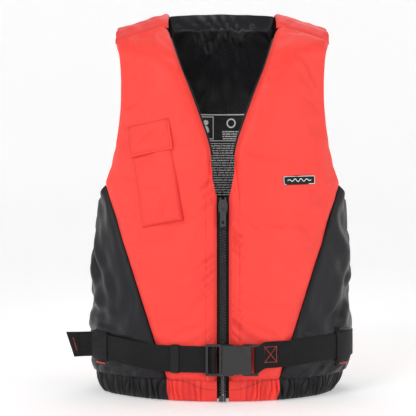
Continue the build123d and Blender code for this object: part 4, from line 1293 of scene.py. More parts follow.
# %% Node trees
class Tree:
    """A Geometry Nodes tree with named inputs."""

    def __init__(self, name, **inputs):
        self.tree = bpy.data.node_groups.new(name, "GeometryNodeTree")
        face = self.tree.interface
        face.new_socket("Geometry", in_out="INPUT", socket_type="NodeSocketGeometry")
        self.ids = {}
        for key, kind in inputs.items():
            socket = face.new_socket(key, in_out="INPUT", socket_type=f"NodeSocket{kind}")
            self.ids[key] = socket.identifier
        face.new_socket("Geometry", in_out="OUTPUT", socket_type="NodeSocketGeometry")
        self.start = self.tree.nodes.new("NodeGroupInput")
        self.end = self.tree.nodes.new("NodeGroupOutput")

    def add(self, kind, settings=None, **sockets):
        node = self.tree.nodes.new("GeometryNode" + kind if not kind.startswith("Function") else kind)
        for key, value in (settings or {}).items():
            setattr(node, key, value)
        for key, value in sockets.items():
            socket = node.inputs[key.replace("_", " ")]
            if isinstance(value, bpy.types.NodeSocket):
                self.tree.links.new(value, socket)
            else:
                socket.default_value = value
        return node

    def given(self, key):
        return self.start.outputs[key]

    def finish(self, geometry):
        """Every tree ends in real geometry with its finish set."""
        real = self.add("RealizeInstances", Geometry=geometry)
        smooth = self.add("SetShadeSmooth", Geometry=real.outputs[0])
        done = self.add("SetMaterial", Geometry=smooth.outputs[0], Material=self.given("Finish"))
        self.tree.links.new(done.outputs[0], self.end.inputs[0])
        return self

    def on(self, obj, name, **values):
        """Applies the tree to an object and returns the result as a plain mesh."""
        modifier = obj.modifiers.new("nodes", "NODES")
        modifier.node_group = self.tree
        for key, value in values.items():
            modifier[self.ids[key]] = value
        mesh = bpy.data.meshes.new_from_object(obj.evaluated_get(bpy.context.evaluated_depsgraph_get()))
        old = obj.data
        bpy.data.objects.remove(obj)
        if isinstance(old, bpy.types.Curve):
            bpy.data.curves.remove(old)
        mesh.name = name
        made = bpy.data.objects.new(name, mesh)
        scene.collection.objects.link(made)
        return made


STITCHES = Tree("stitches", Pitch="Float", Stitch="Float", Thread="Float", Finish="Material")
points = STITCHES.add(
    "ResampleCurve", {"mode": "LENGTH"}, Curve=STITCHES.given("Geometry"), Length=STITCHES.given("Pitch")
)
tangent = STITCHES.add("InputTangent")
turned = STITCHES.add("FunctionNodeAlignEulerToVector", {"axis": "Z"}, Vector=tangent.outputs[0])
grain = STITCHES.add("MeshUVSphere", None, Segments=6, Rings=4, Radius=1.0)
size = STITCHES.tree.nodes.new("ShaderNodeCombineXYZ")
half = STITCHES.tree.nodes.new("ShaderNodeMath")
half.operation = "MULTIPLY"
half.inputs[1].default_value = 0.5
STITCHES.tree.links.new(STITCHES.given("Stitch"), half.inputs[0])
STITCHES.tree.links.new(half.outputs[0], size.inputs["Z"])
for axis in "XY":
    STITCHES.tree.links.new(STITCHES.given("Thread"), size.inputs[axis])
placed = STITCHES.add(
    "InstanceOnPoints", None, Points=points.outputs[0], Instance=grain.outputs[0],
    Rotation=turned.outputs[0], Scale=size.outputs[
        0
    ]
)
STITCHES.finish(placed.outputs[0])

THREAD = Tree("thread", Thread="Float", Finish="Material")
round_profile = THREAD.add("CurvePrimitiveCircle", {"mode": "RADIUS"}, Resolution=5, Radius=THREAD.given("Thread"))
tube = THREAD.add(
    "CurveToMesh", None, Curve=THREAD.given("Geometry"), Profile_Curve=round_profile.outputs[0], Fill_Caps=True
)
THREAD.finish(tube.outputs[0])

ROW = Tree("teeth", Count="Int", Pitch="Float", Finish="Material")
step = ROW.tree.nodes.new("ShaderNodeCombineXYZ")
ROW.tree.links.new(ROW.given("Pitch"), step.inputs["Z"])
line = ROW.add("MeshLine", {"mode": "OFFSET"}, Count=ROW.given("Count"), Offset=step.outputs[0])
teeth = ROW.add("InstanceOnPoints", None, Points=line.outputs[0], Instance=ROW.given("Geometry"))
ROW.finish(teeth.outputs[0])
print("trees", [t.tree.name for t in (STITCHES, THREAD, ROW)])


# %% Paths for thread
def path_object(name, lines):
    curve = bpy.data.curves.new(name, "CURVE")
    curve.dimensions = "3D"
    for line in lines:
        spline = curve.splines.new("POLY")
        spline.points.add(len(line) - 1)
        spline.points.foreach_set("co", np.column_stack([line, np.ones(len(line))]).ravel())
    made = bpy.data.objects.new(name, curve)
    scene.collection.objects.link(made)
    return made


def stitched(name, lines, finish, body="vest", slot="red_nylon", pitch=0.0026, stitch=0.0021, thread=0.00028):
    made = STITCHES.on(path_object(name, lines), name, Pitch=pitch, Stitch=stitch, Thread=thread, Finish=finish)
    return finished(made, None, body, slot)


def threaded(name, lines, finish, body="vest", slot="red_nylon", thread=0.0003):
    made = THREAD.on(path_object(name, lines), name, Thread=thread, Finish=finish)
    return finished(made, None, body, slot)


def tack(start, end, out, width=0.0022, step=0.00055):
    """Zigzag of a bar tack from start to end, raised along out."""
    start, end, out = (np.array(v, float) for v in (start, end, out))
    along = end - start
    long = np.linalg.norm(along)
    across = np.cross(along / long, out)
    count = int(long / step)
    t = np.linspace(0, 1, count)[:, None]
    side = np.where(np.arange(count) % 2, 1, -1)[:, None] * width / 2
    return start + along * t + across * side + out * 0.0001


def thread_finish(name, first, second, sheen=0.25, rough=0.55):
    thread = Finish(name, Sheen_Weight=sheen)
    fibre = thread.noise(thread.place()[0], 900.0, 2.0)
    tint = thread.mix(fibre, first, second)
    return thread.set(Base_Color=tint, Roughness=rough, Normal=thread.bump(fibre, 0.0002, 0.5))


THREAD_RED = thread_finish("thread_red", (0.70, 0.035, 0.03), (0.95, 0.10, 0.08), 0.3, 0.5)
THREAD_DARK_RED = thread_finish("thread_dark_red", (0.42, 0.018, 0.018), (0.62, 0.03, 0.03))
THREAD_BLACK = thread_finish("thread_black", (0.010, 0.010, 0.012), (0.03, 0.03, 0.033))
THREAD_WHITE = thread_finish("thread_white", (0.75, 0.75, 0.74), (0.9, 0.9, 0.89))

# %% [markdown]
# ### Plastics, webbing and tapes
# The buckle is moulded nylon: dark grey, with a fine sparked grain and soft gloss, a little brighter in soft
# patches. Webbing is woven in small diamonds from thick yarn, so its relief is deeper than the shell's and its
# two edges are rolled.


# %% Hard finishes
def moulded(name, colour, worn, rough, grain=900.0):
    plastic = Finish(name, Specular_IOR_Level=0.5)
    point, _ = plastic.place()
    fine = plastic.noise(point, grain, 2.0, 0.6)
    flow = plastic.noise(point, 60.0, 3.0, 0.5)
    body = plastic.mix((flow * 0.6 + fine * 0.4), colour, worn)
    gloss = (flow - 0.5) * 0.2 + (fine - 0.5) * 0.1 + rough
    return plastic.set(Base_Color=body, Roughness=gloss, Normal=plastic.bump(fine, 0.00012, 0.35))


BUCKLE = moulded("buckle_plastic", (0.008, 0.008, 0.009), (0.018, 0.018, 0.020), 0.30)
ZIP_PLASTIC = moulded("zip_plastic", (0.020, 0.020, 0.022), (0.045, 0.045, 0.049), 0.22, 1400.0)


def woven_tape(name, colour, deep, pitch, relief, rough=0.62, slant=1.0):
    tape = Finish(name, Sheen_Weight=0.02, Sheen_Roughness=0.5, Specular_IOR_Level=0.14)
    uv, across, along = tape.map()
    turn = 2 * math.pi / pitch
    first = ((across * slant + along) * turn).sine()
    second = ((across * slant - along) * turn).sine()
    diamond = first * second
    yarn = (across * (turn * 2.0)).sine().size()
    fuzz = tape.noise(uv, 700.0, 3.0, 0.6)
    wear = tape.noise(uv, 25.0, 2.0)
    # partly painted shade: the weave's hollows are darker in colour, and fuzz and wear add a random tone
    shade = diamond * 0.42 + 0.40 + (fuzz - 0.5) * 0.5 + (wear - 0.5) * 0.4
    body = tape.mix(shade.most(0.0).least(1.0), deep, colour)
    height = diamond * 0.6 + yarn * 0.3 + fuzz * 0.25
    normal = tape.bump(height, relief, 0.8)
    return tape.set(Base_Color=body, Roughness=(fuzz - 0.5) * 0.2 + rough, Normal=normal)


WEBBING = woven_tape("webbing", (0.022, 0.022, 0.023), (0.002, 0.002, 0.0025), 0.0042, 0.0006, 0.6)
ZIP_TAPE = woven_tape("zip_tape", (0.020, 0.021, 0.024), (0.006, 0.006, 0.007), 0.0014, 0.00015, slant=2.0)
KEEPER_BLACK = woven_tape("keeper_tape", (0.026, 0.026, 0.028), (0.012, 0.012, 0.013), 0.0016, 0.0002)
print("webbing and plastics ready")

# %% [markdown]
# ## Zip
# The moulded teeth sit on two black tapes sewn behind the placket edges. Each tooth has a root on its tape and a
# rounded head that hooks over the centre.

# %% Teeth
TAPE_Y, TOOTH_PITCH, TOOTH_COUNT = -0.133, 0.004, 69


def tooth_mesh(side, start):
    """One tooth: rounded root block and a narrower head with a bead."""
    stations = [
        (0.0050, 0.0012, 0.0014), (0.0046, 0.0019, 0.0014), (0.0022, 0.0020, 0.0013), (0.0016, 0.0013, 0.0008)
    ]
    stations += [(0.0002, 0.0013, 0.0007), (-0.0006, 0.0016, 0.0011), (-0.0012, 0.0014, 0.0009)]
    points, middle = [], TAPE_Y - 0.0021
    for x, deep, tall in stations:
        for k in range(8):
            turn = 2 * math.pi * (k + 0.5) / 8
            c, s = math.cos(turn), math.sin(turn)
            bow = 1 / max(abs(c), abs(s)) ** 0.6
            points.append((side * x, middle + deep * c * bow, start + tall * s * bow))
    faces = tube_faces(len(stations), 8)
    made = new_mesh("tooth", points, faces)
    face_outwards(made)
    return made


for label, side in SIDES:
    one = tooth_mesh(side, 0.014 + (0.0 if side > 0 else TOOTH_PITCH / 2))
    row = ROW.on(one, f"zip_chain_{label}", Count=TOOTH_COUNT, Pitch=TOOTH_PITCH, Finish=ZIP_PLASTIC)
    finished(row, None, "vest", "zip_plastic", f"zip_teeth_{label}")
    side * 0.0125
    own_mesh(row)
    print(row.name, len(row.data.polygons), "faces")


# %% Tapes and plackets
def flat_strip(name, x0, x1, z0, z1, y_of, thick, columns, rows, flip):
    x = np.linspace(x0, x1, columns)[None, :]
    z = np.linspace(z0, z1, rows)[:, None]
    x, z = np.broadcast_arrays(x, z)
    points = np.stack([x, y_of(x, z), z], -1)
    return sheet_of(name, points, pair(x, z), x * 0, thick, flip)


for label, side in SIDES:
    bead = lambda x, z: TAPE_Y - 0.0006 * bell(np.abs(x) - 0.0022, 0.0008) + 0 * z
    tape = flat_strip(
        f"zip_tape_cloth_{label}", side * 0.0016, side * 0.018, 0.0065, 0.3145, bead, 0.0008, 16, 120, side < 0
    )
    finished(tape, ZIP_TAPE, "vest", "zip_tape", f"zip_tape_{label}")
    declare_cloth(tape)
    side * 0.0125
    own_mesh(tape)


def placket(label, side):
    """Red strip that runs from the tape up over the panel's rolled edge."""
    rows = np.linspace(0, 1, 150)[:, None]
    share = np.array([0, 0.02, 0.06, 0.12, 0.18, 0.25, 0.34, 0.45, 0.57, 0.7, 0.82, 0.92, 1.0])[None, :]
    top = 0.3145 + (0.376 - 0.3145) * share**1.1
    z = HEM + 0.0004 + (top - HEM) * rows
    reach = 0.0260 - 0.0055 * smooth(z, 0.30, 0.372)
    x = side * (0.0090 + (reach - 0.0090) * share)
    x, z = np.broadcast_arrays(x, z)
    face = laid(round_at(x), up_at(x, z), roll(reach - ZIP_EDGE_X, 0.0115) - 0.0012 + 0 * z)[..., 1]
    ease = 1 - (1 - share) ** 1.7
    y = -0.1349 * (1 - ease) + (face - 0.0003) * ease
    hump = 0.0006 * bell(share - 0.09, 0.06) - 0.0007 * bell(share - 0.16, 0.035)
    ripple = pucker(x, z, side) * smooth(share, 0.14, 0.4) * smooth(z, HEM, HEM + 0.02)
    y = y - hump + 0.0013 * ripple + 0.0020 * np.exp(-share / 0.012) + 0.0011 * smooth(share, 0.86, 1.0)
    # painted shade: colour deepens along the dip beside the tape and in the valleys of the puckers
    dark = np.maximum(0.9 * bell(share - 0.16, 0.035), 0.75 * smooth(ripple, 0.1, 1.0))
    made = sheet_of(f"placket_cloth_{label}", np.stack([x, y, z], -1), pair(x, z), dark, 0.001, side < 0)
    softened(made)
    finished(made, RED, "vest", "red_nylon", f"placket_{label}")
    declare_cloth(made, 0.0206 * 0.311)
    z = np.linspace(0.036, 0.316, 200)
    line = np.column_stack([np.full(200, side * 0.0117), np.full(200, -0.1372), z])
    stitched(f"placket_stitches_{label}", [line], THREAD_DARK_RED)


for label, side in SIDES:
    placket(label, side)
for node in ("zip_slider", "zip_pull", "zip_top_stops", "zip_box", "zip_pin"):
    dressed(NODES[node], ZIP_PLASTIC)
for node in ("buckle_female", "buckle_male", "buckle_prong_upper", "buckle_prong_lower"):
    dressed(NODES[node], BUCKLE)

# %% Stitches along the hem
for label, side in SIDES:
    x = np.linspace(0.0125, 0.088, 150)
    z = 0.0205 + 0.0135 * smooth(x, 0.018, 0.070)
    line = on_skin([f"hem_casing_front_{label}", f"front_panel_{label}", f"placket_cloth_{label}"], side * x, z)
    stitched(f"hem_stitches_{label}", [line], THREAD_BLACK, thread=0.00050)
    print("hem stitches", label, len(line), "points")

# %% [markdown]
# ## Waist belt
# The 40 mm webbing goes round the whole jacket. It starts doubled and box-stitched at one half of the buckle, passes
# through a loop on each side and comes back through the other half, whose ladder holds it at any length. Straps are
# modelled straight from their path, because a simulation would melt a strap this thin.


# %% Strap from a path
def strap(name, path, middle, width=0.040, thick=0.0016, sway=0.0004, slant=0.0):
    """Webbing along plan points, its middle at the given heights, with rolled edges."""
    path, middle = np.asarray(path, float), np.broadcast_to(middle, len(path)).astype(float)
    flow = np.gradient(path, axis=0)
    flow /= np.linalg.norm(flow, axis=1, keepdims=True)
    out = pair(flow[:, 1], -flow[:, 0])
    step = travelled(path)
    share = np.array([-1, -0.985, -0.95, -0.9, -0.7, -0.45, -0.2, 0, 0.2, 0.45, 0.7, 0.9, 0.95, 0.985, 1])
    half = thick / 2 * np.array(
        [0.35, 0.85, 1.12, 1.0, 0.94, 0.94, 0.94, 0.94, 0.94, 0.94, 0.94, 1.0, 1.12, 0.85, 0.35]
    )
    ring_s = np.concatenate([share, share[::-1]])
    ring_o = np.concatenate([half, -half[::-1]])
    cup = sway * np.sin(step * 60)[:, None] * (ring_s[None, :] ** 2)
    offset = ring_o[None, :] + cup
    points = np.empty((len(path), len(ring_s), 3))
    points[..., :2] = path[:, None] + out[:, None] * offset[..., None]
    points[..., 2] = middle[:, None] + ring_s[None, :] * width / 2
    if slant:
        points[..., :2] += flow[:, None] * (slant * (step / step[-1])[:, None] * ring_s[None, :])[..., None]
    faces = tube_faces(len(path), len(ring_s))
    cloth = np.stack(np.broadcast_arrays(ring_s[None, :] * width / 2, step[:, None]), -1).reshape(-1, 2)
    made = new_mesh(name, points.reshape(-1, 3), faces, cloth, np.zeros(points.shape[:2]))
    face_outwards(made)
    return made


def arc_front(radius, start, end, side, count=40):
    turn = np.linspace(start, end, count)
    return np.column_stack([side * radius * np.sin(turn), ARC_CENTRE_Y - radius * np.cos(turn)])


def arc_side(radius, start, end, side, count=30):
    turn = np.radians(np.linspace(start, end, count))
    return np.column_stack([side * (SIDE_CENTRE + radius * np.cos(turn)), -radius * np.sin(turn)])


def half_turn(bar, side, back_first=True):
    turn = np.linspace(-90, 90, 12) if back_first else np.linspace(90, -90, 12)
    turn = np.radians(turn)
    return np.column_stack([bar + side * 0.0006 + side * WRAP * np.cos(turn), BUCKLE_Y - WRAP * np.sin(turn)])


def line_of(start, end, count=12):
    return np.linspace(start, end, count)


def tangent_angle(point, ply):
    radius = FRONT_RADIUS + ply
    dx, dy = abs(point[0]), ARC_CENTRE_Y - point[1]
    return math.atan2(dx, dy) + math.acos(radius / math.hypot(dx, dy))


def joined(*runs):
    """Runs end to end, evenly spaced about 3 mm apart, or closer where they turn."""
    points = np.concatenate(runs)
    keep = np.concatenate([[True], np.linalg.norm(np.diff(points, axis=0), axis=1) > 0.0002])
    return points[keep]


INNER, OUTER = 0.0034, 0.0054
BUCKLE_Y, WRAP = -0.153, 0.0028
SPAN = 90 - math.degrees(JOIN)
FEMALE_BAR, MALE_BAR, OUTER_BAR = 0.0512, -0.0141, -0.0245
LOOP_MIDDLE = 37.0

turn = half_turn(FEMALE_BAR, -1)
meet = tangent_angle(turn[0], INNER)
arc = arc_front(FRONT_RADIUS + INNER, meet, JOIN, 1)
run = joined(
    turn[::-1], line_of(turn[0], arc[0]), arc,
    arc_side(SIDE_RADIUS + INNER, SPAN, -SPAN, 1, 60),
    arc_front(FRONT_RADIUS + INNER, JOIN, -JOIN, 1, 90) * (1, -1),
    arc_side(SIDE_RADIUS + INNER, -SPAN, 33.7, -1, 60),
)
over = turn[-1] + (0.0022, 0)
normal = np.array([arc[0][1] - turn[0][1], -(arc[0][0] - turn[0][0])])
normal /= np.linalg.norm(normal)
slope = (arc[0] - turn[0]) / (arc[0] - turn[0])[0]
lap_start = turn[0] + (arc[0] - turn[0]) * 0.25 + normal * 0.0020
lap_end = turn[0] + slope * (0.084 - turn[0][0]) + normal * 0.0020
whole = joined(line_of(lap_end, lap_start, 14), line_of(lap_start, over, 6), run)
heights = np.where(whole[:, 1] > 0, BELT_BACK_Z, belt_height(whole[:, 0]))
riding = smooth(whole[:, 0], 0.050, 0.066) * (0.0065 - 0.0045 * smooth(whole[:, 0], 0.12, 0.19))
heights = heights + np.where(
    whole[:, 1] < 0, riding, 0.002 * smooth(whole[:, 0], 0.12, 0.19) * smooth(0.05 - whole[:, 1], 0, 0.05)
)
belt = strap("belt_round", whole, heights)
finished(belt, WEBBING, "vest", "webbing", "belt_webbing")
print(belt.name, len(belt.data.polygons), "faces")

# %% Adjustable run
turn = half_turn(MALE_BAR, 1)
meet = tangent_angle(turn[0], INNER)
arc = arc_front(FRONT_RADIUS + INNER, meet, JOIN, -1)
back_ply = joined(arc_side(SIDE_RADIUS + INNER, 34.3, SPAN, -1), arc[::-1], line_of(arc[0], turn[0]), turn)
leave = np.array([MALE_BAR - 0.0022, BUCKLE_Y - WRAP])
under = np.array([MALE_BAR - 0.0074, BUCKLE_Y + WRAP])
clear = np.array([OUTER_BAR - 0.0044, BUCKLE_Y + WRAP])
meet = tangent_angle(clear, OUTER)
arc = arc_front(FRONT_RADIUS + OUTER, meet, JOIN, -1)
front_ply = joined(
    line_of(turn[-1], leave, 3), line_of(leave, under, 7), line_of(under, clear, 4),
    line_of(clear, arc[0]), arc, arc_side(SIDE_RADIUS + OUTER, SPAN, 21.0, -1),
)
path = joined(back_ply, front_ply)
front_run = strap("belt_adjuster", path, belt_height(path[:, 0]))
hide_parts("belt_front_run")
front_run.data.materials.append(WEBBING)
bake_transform(front_run)

# %% Loose tail
hinge = arc_side(SIDE_RADIUS + OUTER, 20.5, 20.5, -1, 1)[0]
turn_out = math.radians(25)
along, out = np.array([-math.cos(turn_out), math.sin(turn_out)]), np.array([-math.sin(turn_out), -math.cos(turn_out)])
inside = arc_side(SIDE_RADIUS + OUTER + 0.0001, 27.0, 20.5, -1, 12)
end = hinge + along * 0.048
sag = np.linspace(0, 1, 26)[:, None]
free = hinge + (end - hinge) * sag + out * 0.0022 * np.sin(sag * 3.0)
fold = end + np.array(
    [along * 0.0012 * math.sin(t) + out * 0.0011 * (1 - math.cos(t)) for t in np.linspace(0, math.pi, 9)[1:]]
)
back_over = line_of(fold[-1], fold[-1] - along * 0.024 + out * 0.0003, 10)[1:]
tail_path = joined(inside, free, fold, back_over)
tail = strap("belt_tail", tail_path, 0.078, sway=0.0)
mesh = tail.data
co = np.array([v.co for v in mesh.vertices])
lift = (co[:, 2] - 0.078) / 0.020
away = (co[:, :2] - hinge) @ along
cut = np.clip(away / 0.048, 0, 1.1) ** 2
co[:, :2] += along * (0.0075 * lift - 0.0085)[:, None] * cut[:, None]
co[:, 2] -= 0.003 * np.clip(away / 0.048, 0, 1.1)
mesh.vertices.foreach_set("co", co.astype(np.float32).ravel())
mesh.update()
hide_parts("belt_tail_end")
tail.data.materials.append(WEBBING)
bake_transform(tail)
middle = hinge + along * 0.0295 + out * 0.0046
up = np.array([along[0] * 0.38, along[1] * 0.38, 1.0])
tilted = np.array([*(middle), 0.0765])
out3 = np.array([*out, 0.0])
threaded(
    "tail_tack", [tack(tilted - up * 0.010, tilted + up * 0.010, out3)], THREAD_RED, "loose_tail", "webbing", 0.00035
)


# %% Loops and keeper
def belt_loop(label, side, ply):
    """Vertical webbing loop: its ends lie on the panel, its middle bridges the belt."""
    z = np.concatenate(
        [np.linspace(0.0480, 0.0565, 8), np.linspace(0.0572, 0.0998, 22)[1:-1], np.linspace(0.1005, 0.1090, 8)]
    )
    turn = np.radians(np.linspace(LOOP_MIDDLE - 12, LOOP_MIDDLE + 12, 22))
    near = ply + 0.0008 + 0.0004
    bridge = smooth(z, 0.0535, 0.0580) * smooth(0.1035 - z, 0, 0.0045)
    lift = 0.0012 + (near + 0.0012 - 0.0012) * bridge
    radius = SIDE_RADIUS + lift[:, None] + 0.0002 * np.sin(z * 700)[:, None] + 0.0010 * (1 - bridge)[:, None]
    narrow = (1 - 0.03 * np.sin(math.pi * (z - 0.048) / 0.061))[:, None]
    angle = math.radians(LOOP_MIDDLE) + (turn - math.radians(LOOP_MIDDLE))[None, :] * narrow
    points = np.stack(
        [side * (SIDE_CENTRE + radius * np.cos(angle)), -radius * np.sin(angle), np.broadcast_to(z[:, None], angle.shape)], -1
    )
    path = np.concatenate([[0], np.cumsum(np.hypot(np.diff(z), np.diff(lift)))])
    cloth = np.stack(np.broadcast_arrays(path[:, None], (turn * 0.106)[None, :]), -1)
    made = sheet_of(f"belt_loop_cloth_{label}", points, cloth, np.zeros(angle.shape), 0.0014, flip=side > 0)
    face_outwards(made)
    softened(made)
    finished(made, WEBBING, "vest", "webbing", f"belt_loop_{label}")
    for k, height in enumerate((0.0510, 0.1060)):
        ends = [math.radians(LOOP_MIDDLE + v) for v in (-7.5, 7.5)]
        line = [
            np.array(
                [side * (SIDE_CENTRE + 0.1040 * math.cos(v)), -0.1040 * math.sin(v), height + 0.0006 * (i - 0.5)]
            )
            for i, v in enumerate(ends)
        ]
        middle = (line[0] + line[1]) / 2
        out_way = np.array([middle[0] - side * SIDE_CENTRE, middle[1], 0.0])
        away = out_way / np.linalg.norm(out_way)
        bow = tack(line[0], line[1], away, 0.0024)
        rise = np.linspace(-1, 1, len(bow))[:, None]
        bow = bow + (1 - rise**2) * away * 0.0010
        finish = THREAD_RED if k == 0 else THREAD_BLACK
        threaded(f"loop_tack_{('lower', 'upper')[k]}_{label}", [bow], finish, "vest", "webbing", 0.0004)


belt_loop("left", 1, INNER)
belt_loop("right", -1, OUTER)


def keeper():
    """Flat band round both plies of the strap."""
    angle = math.asin(-0.0725 / (FRONT_RADIUS + INNER))
    centre = np.array([0, ARC_CENTRE_Y])
    low_r, high_r = FRONT_RADIUS + INNER - 0.0008 - 0.0010, FRONT_RADIUS + OUTER + 0.0008 + 0.0010
    mid_r, half_r, half_z = (low_r + high_r) / 2, (high_r - low_r) / 2, 0.0211
    turn = np.linspace(0, 2 * math.pi, 48, endpoint=False)
    c, s = np.cos(turn), np.sin(turn)
    flat = 1 / np.maximum(np.abs(c), np.abs(s))
    bow = flat**0.85
    r, z = mid_r + half_r * c * bow, 0.068 + half_z * s * bow
    rings = []
    for share, grow in (
        (-1, 0.0), (-0.96, 0.0005), (-0.8, 0.0006), (0, 0.0007), (0.8, 0.0006), (0.96, 0.0005), (1, 0.0)
    ):
        wide = angle + share * 0.0062 / FRONT_RADIUS
        radius = r + grow * np.sign(c) * np.abs(c) ** 0.3
        height = z + grow * np.sign(s) * np.abs(s) ** 0.3
        rings.append(np.stack([radius * math.sin(wide), centre[1] - radius * math.cos(wide), height], -1))
    inner = []
    for ring in rings[::-1]:
        middle = ring.mean(0)
        inner.append(middle + (ring - middle) * np.array([0.93, 0.75, 0.965]))
    stack = np.array(rings + inner)
    count, around = stack.shape[:2]
    faces = grid_faces(count, around, close=True)
    for i in range(around):
        j = (i + 1) % around
        faces.append(((count - 1) * around + i, (count - 1) * around + j, j, i))
    cloth = np.stack(np.broadcast_arrays((turn * 0.02)[None, :], np.linspace(0, 0.026, count)[:, None]), -1).reshape(
        -1, 2
    )
    made = new_mesh("keeper_band", stack.reshape(-1, 3), faces, cloth, np.zeros(count * around))
    face_outwards(made)
    return finished(made, KEEPER_BLACK, "keeper", "webbing", "belt_keeper")


keeper()

# %% Box stitch
box_x = (0.0620, 0.0805)
box_z = (0.0635, 0.0870)


def on_lap(x, z):
    base = turn_lap + slope_lap * (x - turn_lap[0])
    return np.array([*(base + normal_lap * 0.0031), z])


turn_lap, slope_lap, normal_lap = half_turn(FEMALE_BAR, -1)[0], slope, normal
corners = [(box_x[0], box_z[0]), (box_x[1], box_z[0]), (box_x[1], box_z[1]), (box_x[0], box_z[1])]
loop_line = [on_lap(*corners[k % 4]) for k in (0, 1, 2, 3, 0)]
cross = [[on_lap(*corners[0]), on_lap(*corners[2])], [on_lap(*corners[1]), on_lap(*corners[3])]]
box_lines = [np.array(loop_line)] + [np.array(c) for c in cross]
stitched("box_stitch", box_lines, THREAD_RED, "vest", "webbing", 0.0021, 0.0019, 0.00036)

# %% [markdown]
# ## Chest pocket
# A bellows pocket is a patch of nylon whose sides and foot fold into a low wall, so that it can fill. Its flap is
# sewn to the panel above, bends over the mouth and is edged with two rows of stitching.

# %% Pocket body
POCKET_HALF, POCKET_FOOT = 0.035, -0.054
FLAP_HALF, FLAP_FOOT = 0.0375, 0.057
POCKET_TURN = math.asin(-0.0985 / FRONT_RADIUS)
LEAN = math.radians(9.7)
POCKET_MIDDLE = np.array([-0.0985, -(math.sqrt(FRONT_RADIUS**2 - 0.0985**2) - ARC_CENTRE_Y), 0.326])
FLAT_X = np.array([math.cos(POCKET_TURN), math.sin(POCKET_TURN), 0])
POCKET_OUT = np.array([math.sin(POCKET_TURN), -math.cos(POCKET_TURN), 0])
POCKET_X = FLAT_X * math.cos(LEAN) + np.array([0, 0, math.sin(LEAN)])
POCKET_UP = -FLAT_X * math.sin(LEAN) + np.array([0, 0, math.cos(LEAN)])


def on_pocket(w, h, d):
    w, h, d = np.broadcast_arrays(w, h, d)
    sunk = d - w**2 / (2 * FRONT_RADIUS) * 0.9
    return POCKET_MIDDLE + w[..., None] * POCKET_X + h[..., None] * POCKET_UP + sunk[..., None] * POCKET_OUT


def pocket_front(h):
    return 0.012 + (h - POCKET_FOOT) / 0.128 * (0.0075 - 0.012)


def pocket_body():
    wall = [0, 0.0002, 0.0009, 0.0006, 0.0012, 0.0030, 0.0055]
    w = np.concatenate([-POCKET_HALF + np.array(wall), np.linspace(-0.0275, 0.0275, 26), POCKET_HALF - np.array(wall[::-1])])[
        None, :
    ]
    h = np.concatenate([POCKET_FOOT + np.array(wall), np.linspace(-0.0465, 0.074, 52)])[:, None]
    k = np.minimum(np.arange(w.shape[1]), np.arange(w.shape[1])[::-1])[None, :]
    j = np.arange(h.shape[0])[:, None]
    lift = np.array([0.0, 0.18, 0.42, 0.66, 0.86, 0.965, 1.0])
    tall = np.minimum(lift[np.minimum(k, 6)], lift[np.minimum(j, 6)])
    base = -0.0015
    full = pocket_front(h) - 0.0008 + 0.0016 * np.cos(w / POCKET_HALF * 1.4) * np.cos((h - 0.01) / 0.064 * 1.2)
    inside = np.minimum(smooth(POCKET_HALF - np.abs(w), 0.002, 0.014), smooth(h - POCKET_FOOT, 0.002, 0.014))
    slack = 0.0016 * waves(w + 0 * h, h + 0 * w, 0.05, 91, stretch=1.6) + 0.0005 * waves(
        w + 0 * h, h + 0 * w, 0.022, 92
    )
    ww, hh = crossed(w, h)
    for start, end, width, depth in POCKET_CREASES:
        slack = slack - crease(ww, hh, start, end, width, depth)
    edge_line = 0.0005 * bell(POCKET_HALF - np.abs(w) - 0.0075, 0.0012)
    d = base + (full - base) * tall + inside * slack - edge_line
    # painted shade: colour deepens towards the pocket's sides and foot, where its wall folds
    dark = np.exp(-np.minimum(POCKET_HALF - np.abs(w), h - POCKET_FOOT) / 0.0035)
    made = sheet_of("pocket_cloth", on_pocket(w, h, d), pair(ww, hh), dark + 0 * w, 0.0011)
    softened(made)
    finished(made, RED, "vest", "red_nylon", "pocket_body")
    declare_cloth(made, 0.070 * 0.128 + 0.012 * (2 * 0.128 + 0.070))
    rows = []
    for sign in (-1, 1):
        line_h = np.linspace(-0.049, 0.060, 60)
        rows.append(on_pocket(np.full(60, sign * 0.0305), line_h, pocket_front(line_h)))
    line_w = np.linspace(-0.0305, 0.0305, 40)
    rows.append(on_pocket(line_w, np.full(40, -0.049), np.full(40, pocket_front(-0.049) - 0.0001)))
    stitched("pocket_stitches", rows, THREAD_RED, thread=0.00022)
    return made


POCKET_CREASES = [
    ((-0.024, -0.036), (-0.008, -0.050), 0.003, 0.0018),
    ((-0.030, 0.006), (0.008, -0.004), 0.006, 0.0022),
    ((-0.004, -0.052), (0.012, -0.010), 0.005, 0.0018),
    ((0.014, -0.050), (0.030, -0.036), 0.003, 0.0016),
    ((-0.026, 0.046), (-0.010, 0.052), 0.003, 0.0012),
]
pocket_body()


# %% Flap and its tapes
def flap_depth(h):
    """How far out the flap lies: on the panel at its seam, over the mouth, then down the pocket's front."""
    over = pocket_front(np.minimum(h, 0.0755)) + 0.0030
    share = smooth(h, 0.066, 0.106)
    return over * (1 - share) + 0.0058 * share


def corner_lift(w, h):
    """The upper corners bend back on to the panel, less so towards the zip, where the panel stands prouder."""
    upper = smooth(h, 0.070, 0.09)
    return upper * (0.0030 * smooth(w, 0.0, FLAP_HALF) - 0.0020 * smooth(-w, 0.028, FLAP_HALF))


def bend_at_seam(obj):
    """Bakes the piece's placement into its mesh; the cloth is not bent at the seam."""
    seam, clear = (on_pocket(0.0, v, flap_depth(v)).ravel() for v in (0.1035, 0.0965))
    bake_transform(obj)


